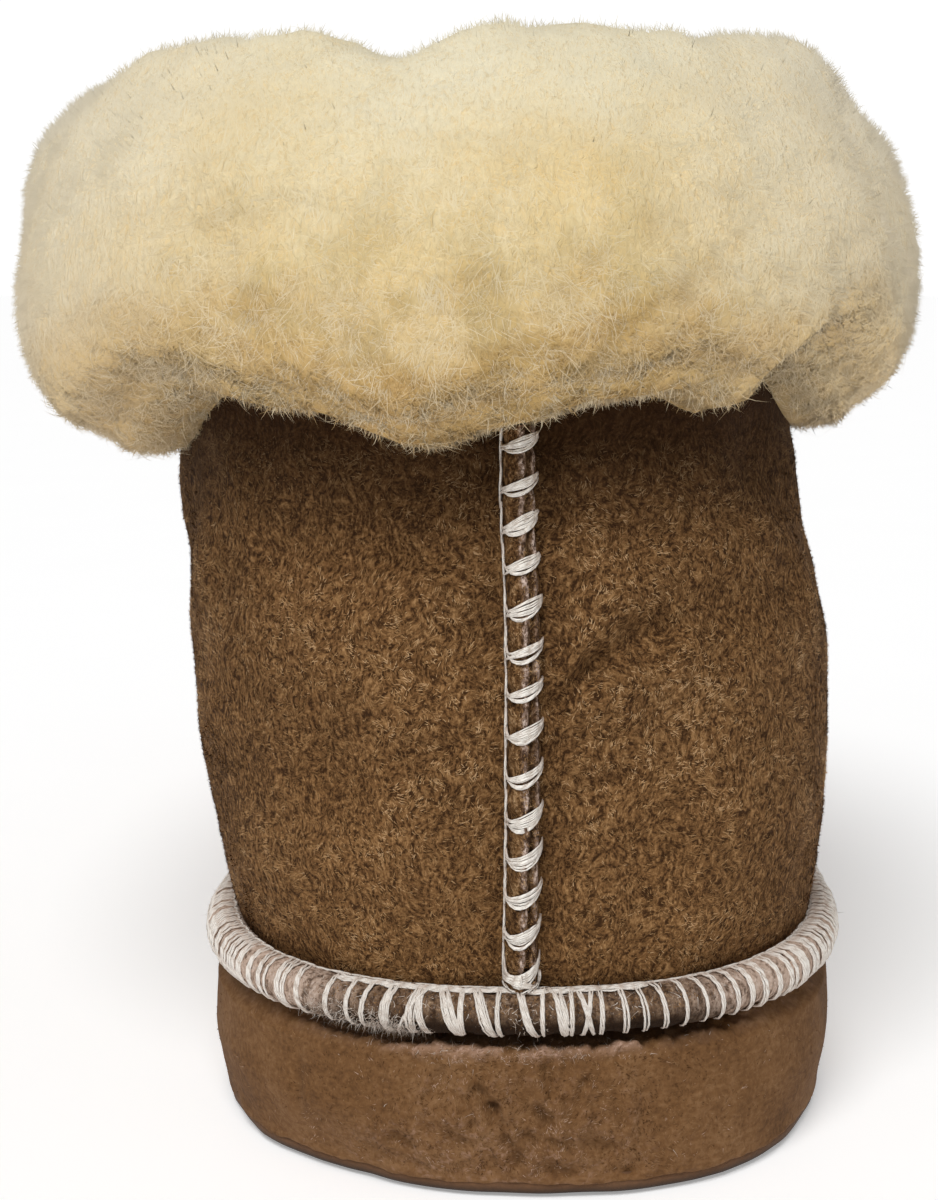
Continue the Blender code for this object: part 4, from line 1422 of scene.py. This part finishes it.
def cuff_envelope(columns):
    """The roll's skin, with its lumps and tufts, set back by the depth of the fibres on it."""
    turns = around(columns)
    skin = Skin(smoothed(cuff_section(turns), SECTION_STEPS), closed_rows=True)
    exposed = skin.points[:EXPOSED_ROWS]
    relief = np.zeros(skin.points.shape[:2])
    tufts = 0.8 * ripple(exposed, 7.0, 3.0) + 0.7 * ripple(exposed, 3.4, 8.0)
    calm = 0.45 + 0.55 * smooth_step(np.arange(EXPOSED_ROWS) / EXPOSED_ROWS / 0.30)[:, None]
    calm = calm * (1 - 0.45 * smooth_step((np.abs(exposed[..., 0]) - 34) / 12))
    relief[:EXPOSED_ROWS] = 0.9 * ripple(exposed, 16.0) + tufts * calm
    for lump in LUMPS:
        row = int(lump.share * EXPOSED_ROWS)
        column = int(lump.turn / 360 * columns) % columns
        away = np.linalg.norm(exposed - exposed[row, column], axis=-1)
        relief[:EXPOSED_ROWS] += lump.out * bell(away / lump.reach)
    share = np.arange(len(relief)) / EXPOSED_ROWS
    ends = smooth_step((1 - share) / 0.12) * smooth_step((share + 0.02) / 0.06)
    depth = PILE_DEPTH * smooth_step((1.04 - share) / 0.1) * smooth_step((share + 0.06) / 0.10)
    return skin.moved(relief * np.clip(ends, 0, 1)[:, None] - depth[:, None])


def kept_from_drooping(headings, outs):
    """Fibres on the roll's crown stand up or lie back: none hangs out over the side."""
    aside = unit(outs * (1, 1, 0))
    level_part = np.sum(outs * aside, axis=1, keepdims=True)
    standing = np.maximum(np.sum(headings * outs, axis=1, keepdims=True), 0.05)
    excess = np.maximum(np.sum(headings * aside, axis=1, keepdims=True) - (level_part + 0.06) / standing, 0)
    return unit(headings - excess * aside)


def facing_down(outs):
    return np.clip(-outs[..., 2], 0, 1)


# How wool lies on its skin: how far it stands off, how much it is combed along the skin, how it curls,
# hangs and bends, and how much lighter it is than the rest.
Lie = namedtuple("Lie", "stand comb curl hang bend lighter", defaults=(0.22, 0.40, 0.55, 0.0, 0.0, 0.0))
COMBED, PRESSED, FLEECE = Lie(), Lie(comb=-0.5), Lie(comb=0.2, curl=0.9)
CURLED = Lie(stand=0.35, comb=0.15, curl=0.9, bend=1.3, lighter=0.32)
WISPY = Lie(stand=0.50, comb=0.0, curl=1.1, hang=0.30, bend=1.1, lighter=0.20)


def wool_zones(roots, outs):
    """Shares of the roots' standing at the back, on the cuff's sides, and on its crown."""
    on_cuff = smooth_step((roots[:, 2:] - 72) / 4)
    at_back = smooth_step((75 - roots[:, 1:2]) / 40)
    at_side = smooth_step((np.abs(roots[:, :1]) - 34) / 14) * at_back * on_cuff
    crown = smooth_step((outs[:, 2:] - 0.2) / 0.5) * smooth_step((roots[:, 2:] - 100) / 10)
    return at_back, at_side, crown


def wool_headings(lie, outs, rises, locks, stray, outline):
    """Combed down the outside and back over the top. Locks lean together, and less so on the outline."""
    up = outs[:, 2:]
    parting = lie.comb * (1 - 1.8 * smooth_step((up - 0.15) / 0.5)) * smooth_step((up + 0.95) / 0.8)
    curled = lie.curl * (1 + 0.8 * smooth_step(-up / 0.6)) * (1 - 0.4 * outline)
    headings = outs * lie.stand - rises * parting + curled * (1.3 * locks + 0.55 * stray) - (0, 0, lie.hang)
    return kept_from_drooping(unit(headings), outs)


def plant_wool(name, skin, finish, seed, count, length, width, stations=1, weigh=None, lie=COMBED):
    """Wool fibres on a skin: finer and shorter on the cuff's outline, fuller towards the front."""
    rng = np.random.default_rng(seed)
    roots, outs, rises = skin.scatter(count, rng, weigh)
    locks = ripple_vector(roots, 2.0, 5.0) + 0.7 * ripple_vector(roots, 6.0, 9.0)
    stray = rng.normal(size=roots.shape)
    up = outs[:, 2:]
    at_back, at_side, crown = wool_zones(roots, outs)
    outline = np.maximum(at_side, crown * at_back)
    headings = wool_headings(lie, outs, rises, locks, stray, outline)
    bends = rng.normal(size=roots.shape) - (0, 0, 0.4)
    bends = lie.bend * (bends - outs * (np.sum(bends * outs, axis=1, keepdims=True) + 0.55))
    outward = unit((roots - MOUTH_MIDDLE) * (1, 1, 0)) * (1 - at_back) + at_back * BACK_AND_UP
    facing = unit(outs + 0.35 * locks + 0.15 * stray + 1.3 * np.maximum(crown, at_side) * outward)
    shaded_as = unit(outs + 0.15 * locks + (0, 0, 0.35) * np.clip(-up, 0, 1))
    tufted = 0.45 * ripple(roots, 1.5) + 0.32 * ripple(roots, 3.6, 3.0) + 0.25 * ripple(roots, 8.0, 13.0)
    tint = 0.5 + lie.lighter + 0.24 * rng.normal(size=count) + tufted * (1 - 0.5 * at_side[:, 0])
    straight = stations == 1
    length = length * (1 - 0.45 * smooth_step((-up[:, 0] - 0.2) / 0.5) * straight)
    fuller = smooth_step((roots[:, 1] - 45) / 45)
    finer = outline[:, 0] * straight
    length = length * (1 + 0.2 * fuller - 0.25 * finer)
    width = width * (1 + 0.9 * fuller - 0.40 * finer)
    # under carries the painted shade on what faces down.
    piece = build_fibres(
        name, roots - outs * 0.1, headings, length * rng.uniform(0.6, 1.25, count),
        width * rng.uniform(0.7, 1.25, count), facing, finish,
        bends=bends, stations=stations, shaded_as=shaded_as,
        values={"tint": np.clip(tint, 0, 1), "under": facing_down(outs)},
    )
    piece.visible_shadow = False


def make_cuff(felt, fibre):
    """A core of felted wool, combed fibres all over it, curls low down and wisps along its hem."""
    core = cuff_envelope(160)
    under = facing_down(core.normals)
    # The hidden backing takes the full painted shade.
    under[EXPOSED_ROWS:] = 1.0
    piece = build_skin("cuff_pile", core, felt, {"under": under})
    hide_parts("cuff")
    exposed = core.part(np.arange(-SECTION_STEPS - 1, EXPOSED_ROWS + 1))

    def weigh(places, outs):
        at_side = smooth_step((np.abs(places[:, 0]) - 36) / 14)
        faces_back = smooth_step(0.35 - outs[:, 1])
        return 0.6 + (1.7 + 0.8 * at_side) * faces_back * smooth_step((80 - places[:, 1]) / 40)

    for number in (1, 2):
        name = f"cuff_wool_{number}"
        plant_wool(name, exposed, fibre, 59 + number, count=83000, length=1.7, width=0.16, weigh=weigh)

    def weigh_curls(places, outs):
        at_side = smooth_step((np.abs(places[:, 0]) - 34) / 12)
        return weigh(places, outs) * (0.08 + smooth_step((106 - places[:, 2]) / 14)) * (1 - 0.75 * at_side)

    for number in (1, 2):
        plant_wool(
            f"cuff_curls_{number}", exposed, fibre, 69 + number,
            count=13500, length=1.8, width=0.10, stations=3, weigh=weigh_curls, lie=CURLED,
        )
    hem = core.part(np.arange(-SECTION_STEPS - 1, int(EXPOSED_ROWS * 0.13)))

    def weigh_hem(places, outs):
        return weigh(places, outs) * (0.5 + facing_down(outs))

    plant_wool(
        "cuff_wisps", hem, fibre, 75,
        count=15500, length=1.6, width=0.08, stations=3, weigh=weigh_hem, lie=WISPY,
    )


def make_lining(felt, fibre):
    """The wool side of the upper, pressed flat by wear low down and fuller at the mouth."""
    levels = np.linspace(0.1, TOP_LEVEL - 0.02, 40)
    level, turn = np.meshgrid(levels, around(150), indexing="ij")
    outside = Skin(upper_point(level, turn))
    inside = outside.moved(np.full(level.shape, -WALL))
    relief = 0.35 * ripple(inside.points, 3.0) + 0.3 * ripple(inside.points, 7.0, 3.0)
    inside = inside.moved(relief * smooth_step(level / 1.0) * smooth_step((TOP_LEVEL - level) / 1.0))
    back = outside.moved(np.full(level.shape, -LINING_DEPTH)).points[::6]
    crown = inside.points[-1:] + unit(outside.normals[-1:] * (1, 1, 0)) * 1.5 + (0, 0, 2.6)
    closed = Skin(np.concatenate((back, crown, inside.points[::-1])), closed_rows=True)
    build_skin("lining", closed, felt)
    facing_in = closed.part(slice(len(back) + 1, -1))

    def weigh(places, outs):
        return smooth_step((places[:, 2] - 20) / 60) + 0.12

    plant_wool(
        "lining_wool", facing_in, fibre, 72, count=16000, length=2.2, width=0.34, weigh=weigh, lie=PRESSED,
    )


def make_footbed(felt, fibre):
    """The insole's fleece: flat at its rim, with a little dip worn by the foot."""
    turns = around(220)
    ring = Ring(*UPPER_RINGS[0])
    inset = WALL + FOOTBED_GAP
    layers = ((inset, FIT_GAP), (inset, FOOTBED_THICK - FOOTBED_ROUND), (inset + 0.7, FOOTBED_THICK - 0.5))
    rows = []
    for layer_inset, lift in layers:
        across, along = outline(ring, turns, layer_inset)
        rows.append(np.stack((across, along, sole_top(along) + lift), axis=-1))
    rim = rows[-1]
    spine = rim.copy()
    spine[:, 0] = np.interp(rim[:, 1], *spine_of(rim))
    for share in np.linspace(0.08, 0.985, 16):
        row = rim + (spine - rim) * share
        row[:, 2] += 0.5 * smooth_step(share * 6) - 0.9 * smooth_step(share * 1.6)
        rows.append(row)
    places = np.array(rows)
    skin = Skin(places)
    worn = 0.25 * ripple(places, 4.0) + 0.35 * ripple(places, 12.0)
    skin = skin.moved(worn * (np.arange(len(rows)) > 2)[:, None])
    piece = build_skin("footbed_fleece", skin, felt, caps=CLOSED_ENDS)
    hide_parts("footbed")
    shown = skin.part(slice(2, None))
    plant_wool("footbed_wool", shown, fibre, 82, count=10000, length=1.6, width=0.30, lie=FLEECE)


def spine_of(rim):
    """The middle line of a ring of points, as along and across."""
    half = len(rim) // 2
    outer, inner = rim[:half + 1], np.vstack((rim[:1], rim[:half - 1:-1]))
    return outer[:, 1], (outer[:, 0] + inner[:, 0]) / 2


# ---------------------------------------------------------------- lint


# Where the fluff hangs on the welt: distance from the back seam, how far it spreads, its angle round the
# roll, and its share of the whole.
Clot = namedtuple("Clot", "place spread angle share")
CLOTS = np.array((
    Clot(-13.5, 1.6, -0.9, 0.41),
    Clot(-16.5, 2.5, -0.5, 0.18),
    Clot(-20.5, 3.0, -0.6, 0.21),
    Clot(0.5, 2.0, -0.3, 0.02),
    Clot(3.0, 30.0, 0.6, 0.18),
))
WRAP_LINT, WELT_LINT, LINT_WIDTH = 260, 1300, 0.07


def make_lint(wrap_skin, finish):
    """Loose fluff where thread and raw edges meet at the heel."""
    rng = np.random.default_rng(91)

    def near_edge(places, outs):
        return heel_centre(places, 16.0, 1.6, (-4.0, 0, 17.5)) + 0.02 * heel_centre(places, 12.0, 8.0)

    def strew(name, roots, outs, out_share, lengths, bend, tints):
        count = len(roots)
        headings = unit(outs * out_share + rng.normal(size=roots.shape))
        build_fibres(
            name, roots, headings, rng.uniform(*lengths, count), np.full(count, LINT_WIDTH), outs,
            finish, bends=rng.normal(size=roots.shape) * bend, stations=3,
            values={"tint": tints[0] + tints[1] * rng.random(count)},
        )

    roots, outs, _ = wrap_skin.scatter(WRAP_LINT, rng, near_edge)
    strew("wrap_lint", roots, outs, 0.5, (0.3, 0.9), 0.35, (0.0, 0.6))
    place, spread, middle, _ = CLOTS[rng.choice(len(CLOTS), WELT_LINT, p=CLOTS[:, 3])].T
    measure = place + spread * rng.normal(size=WELT_LINT)
    angle = middle + 0.35 * rng.normal(size=WELT_LINT)
    roots = welt_place(measure, angle, np.full(WELT_LINT, 0.15))
    _, _, out, down = WELT.at(measure)
    outs = unit(out * np.cos(angle)[:, None] - down * np.sin(angle)[:, None])
    strew("welt_lint", roots, outs, 0.6, (0.25, 0.8), 0.45, (0.25, 0.6))


# ---------------------------------------------------------------- stage, light and camera


FLOOR_REACH, FLOOR_DROP = 6.0, 0.0002  # in metres
FILL_LIGHT, KEY_LIGHT, FLOOR_GLOW, PAPER_WHITE = 0.21, 2.15, 0.30, 1.05
KEY_UP, KEY_LEFT, KEY_SOFTNESS = 54, 12, 30  # in degrees
CAMERA_BEHIND, CAMERA_HEIGHT, CAMERA_PITCH = 220.0, 100.0, 8.9
CAMERA_LENS, CAMERA_SHIFT = 65.04, -0.0425


def make_stage():
    made = Finish("pale_floor")
    paper = made.noise(40.0, 2.0)
    colour = made.mix(paper, (0.93, 0.93, 0.93), (0.95, 0.95, 0.95))
    made.surface(colour, 0.9, Emission_Color=(1, 1, 1, 1), Emission_Strength=FLOOR_GLOW)
    mesh = bpy.data.meshes.new("floor")
    corners = [(x * FLOOR_REACH, y * FLOOR_REACH, 0) for x, y in ((-1, -1), (1, -1), (1, 1), (-1, 1))]
    mesh.from_pydata(corners, [], [(0, 1, 2, 3)])
    mesh.materials.append(made.material)
    floor = bpy.data.objects.new("floor", mesh)
    floor.location.z = -FLOOR_DROP
    bpy.context.scene.collection.objects.link(floor)


def make_sun(name, degrees_up, degrees_left, strength, softness):
    """Light from behind the camera, as from a large soft window."""
    lamp = bpy.data.lights.new(name, "SUN")
    lamp.energy, lamp.angle = strength, math.radians(softness)
    sun = bpy.data.objects.new(name, lamp)
    sun.rotation_euler = (math.radians(90 - degrees_up), 0, -math.radians(degrees_left))
    bpy.context.scene.collection.objects.link(sun)


def make_world():
    """White paper all round: full white to look at, and a softer fill on the slipper."""
    world = bpy.data.worlds.new("studio")
    bpy.context.scene.world = world
    world.use_nodes = True
    tree = world.node_tree
    tree.nodes.clear()
    path = tree.nodes.new("ShaderNodeLightPath")
    strength = tree.nodes.new("ShaderNodeMapRange")
    strength.inputs["To Min"].default_value = FILL_LIGHT
    strength.inputs["To Max"].default_value = PAPER_WHITE
    background = tree.nodes.new("ShaderNodeBackground")
    background.inputs["Color"].default_value = (1, 1, 1, 1)
    output = tree.nodes.new("ShaderNodeOutputWorld")
    tree.links.new(path.outputs["Is Camera Ray"], strength.inputs["Value"])
    tree.links.new(strength.outputs["Result"], background.inputs["Strength"])
    tree.links.new(background.outputs["Background"], output.inputs["Surface"])


def make_camera():
    """Close behind the heel, a little above it, with the back seam right of the view's middle."""
    data = bpy.data.cameras.new("camera")
    data.sensor_fit, data.sensor_height, data.sensor_width = "VERTICAL", 36.0, 36.0
    data.lens, data.shift_x = CAMERA_LENS, CAMERA_SHIFT
    data.clip_start, data.clip_end = 0.01, 50.0
    camera = bpy.data.objects.new("camera", data)
    camera.location = (np.array((0.0, -CAMERA_BEHIND, CAMERA_HEIGHT)) + ORIGIN) * MM
    camera.rotation_euler = (math.radians(90 - CAMERA_PITCH), 0, 0)
    bpy.context.scene.collection.objects.link(camera)
    bpy.context.scene.camera = camera


def main():
    nap, thread = nap_fibre(), thread_floss()
    finishes = (rib_suede(), nap, thread_floss("rib_thread", RIB_THREAD_LIGHT))
    inside = (wool_felt("wool_felt_inside", steady=0.5), wool_fibre("wool_fibre_inside", steady=0.5))
    skin, level = make_upper(upper_suede())
    make_nap(skin, level, nap)
    make_seam("heel_rib", HEEL_SEAM, finishes, 101, start=0.5, end=HEEL_SEAM.length - 2, step=0.36)
    make_seam("vamp_rib", VAMP_SEAM, finishes, 121, start=0.0, end=VAMP_SEAM.length, step=0.8, gap=0.6)
    make_welt(rib_suede("welt_suede", WORN_EDGE, lint=0.6), nap, thread)
    wrap_skin = make_wrap(sole_wrap_suede())
    make_wrap_nap(wrap_skin)
    make_outsole(outsole_rubber())
    make_lining(*inside)
    make_footbed(*inside)
    make_cuff(wool_felt(), wool_fibre())
    make_lint(wrap_skin, lint_fibre())
    make_stage()
    make_world()
    make_sun("key", KEY_UP, KEY_LEFT, KEY_LIGHT, KEY_SOFTNESS)
    make_camera()
    bpy.context.scene.view_settings.view_transform = "Standard"
    bpy.context.scene.cycles.use_light_tree = False


main()
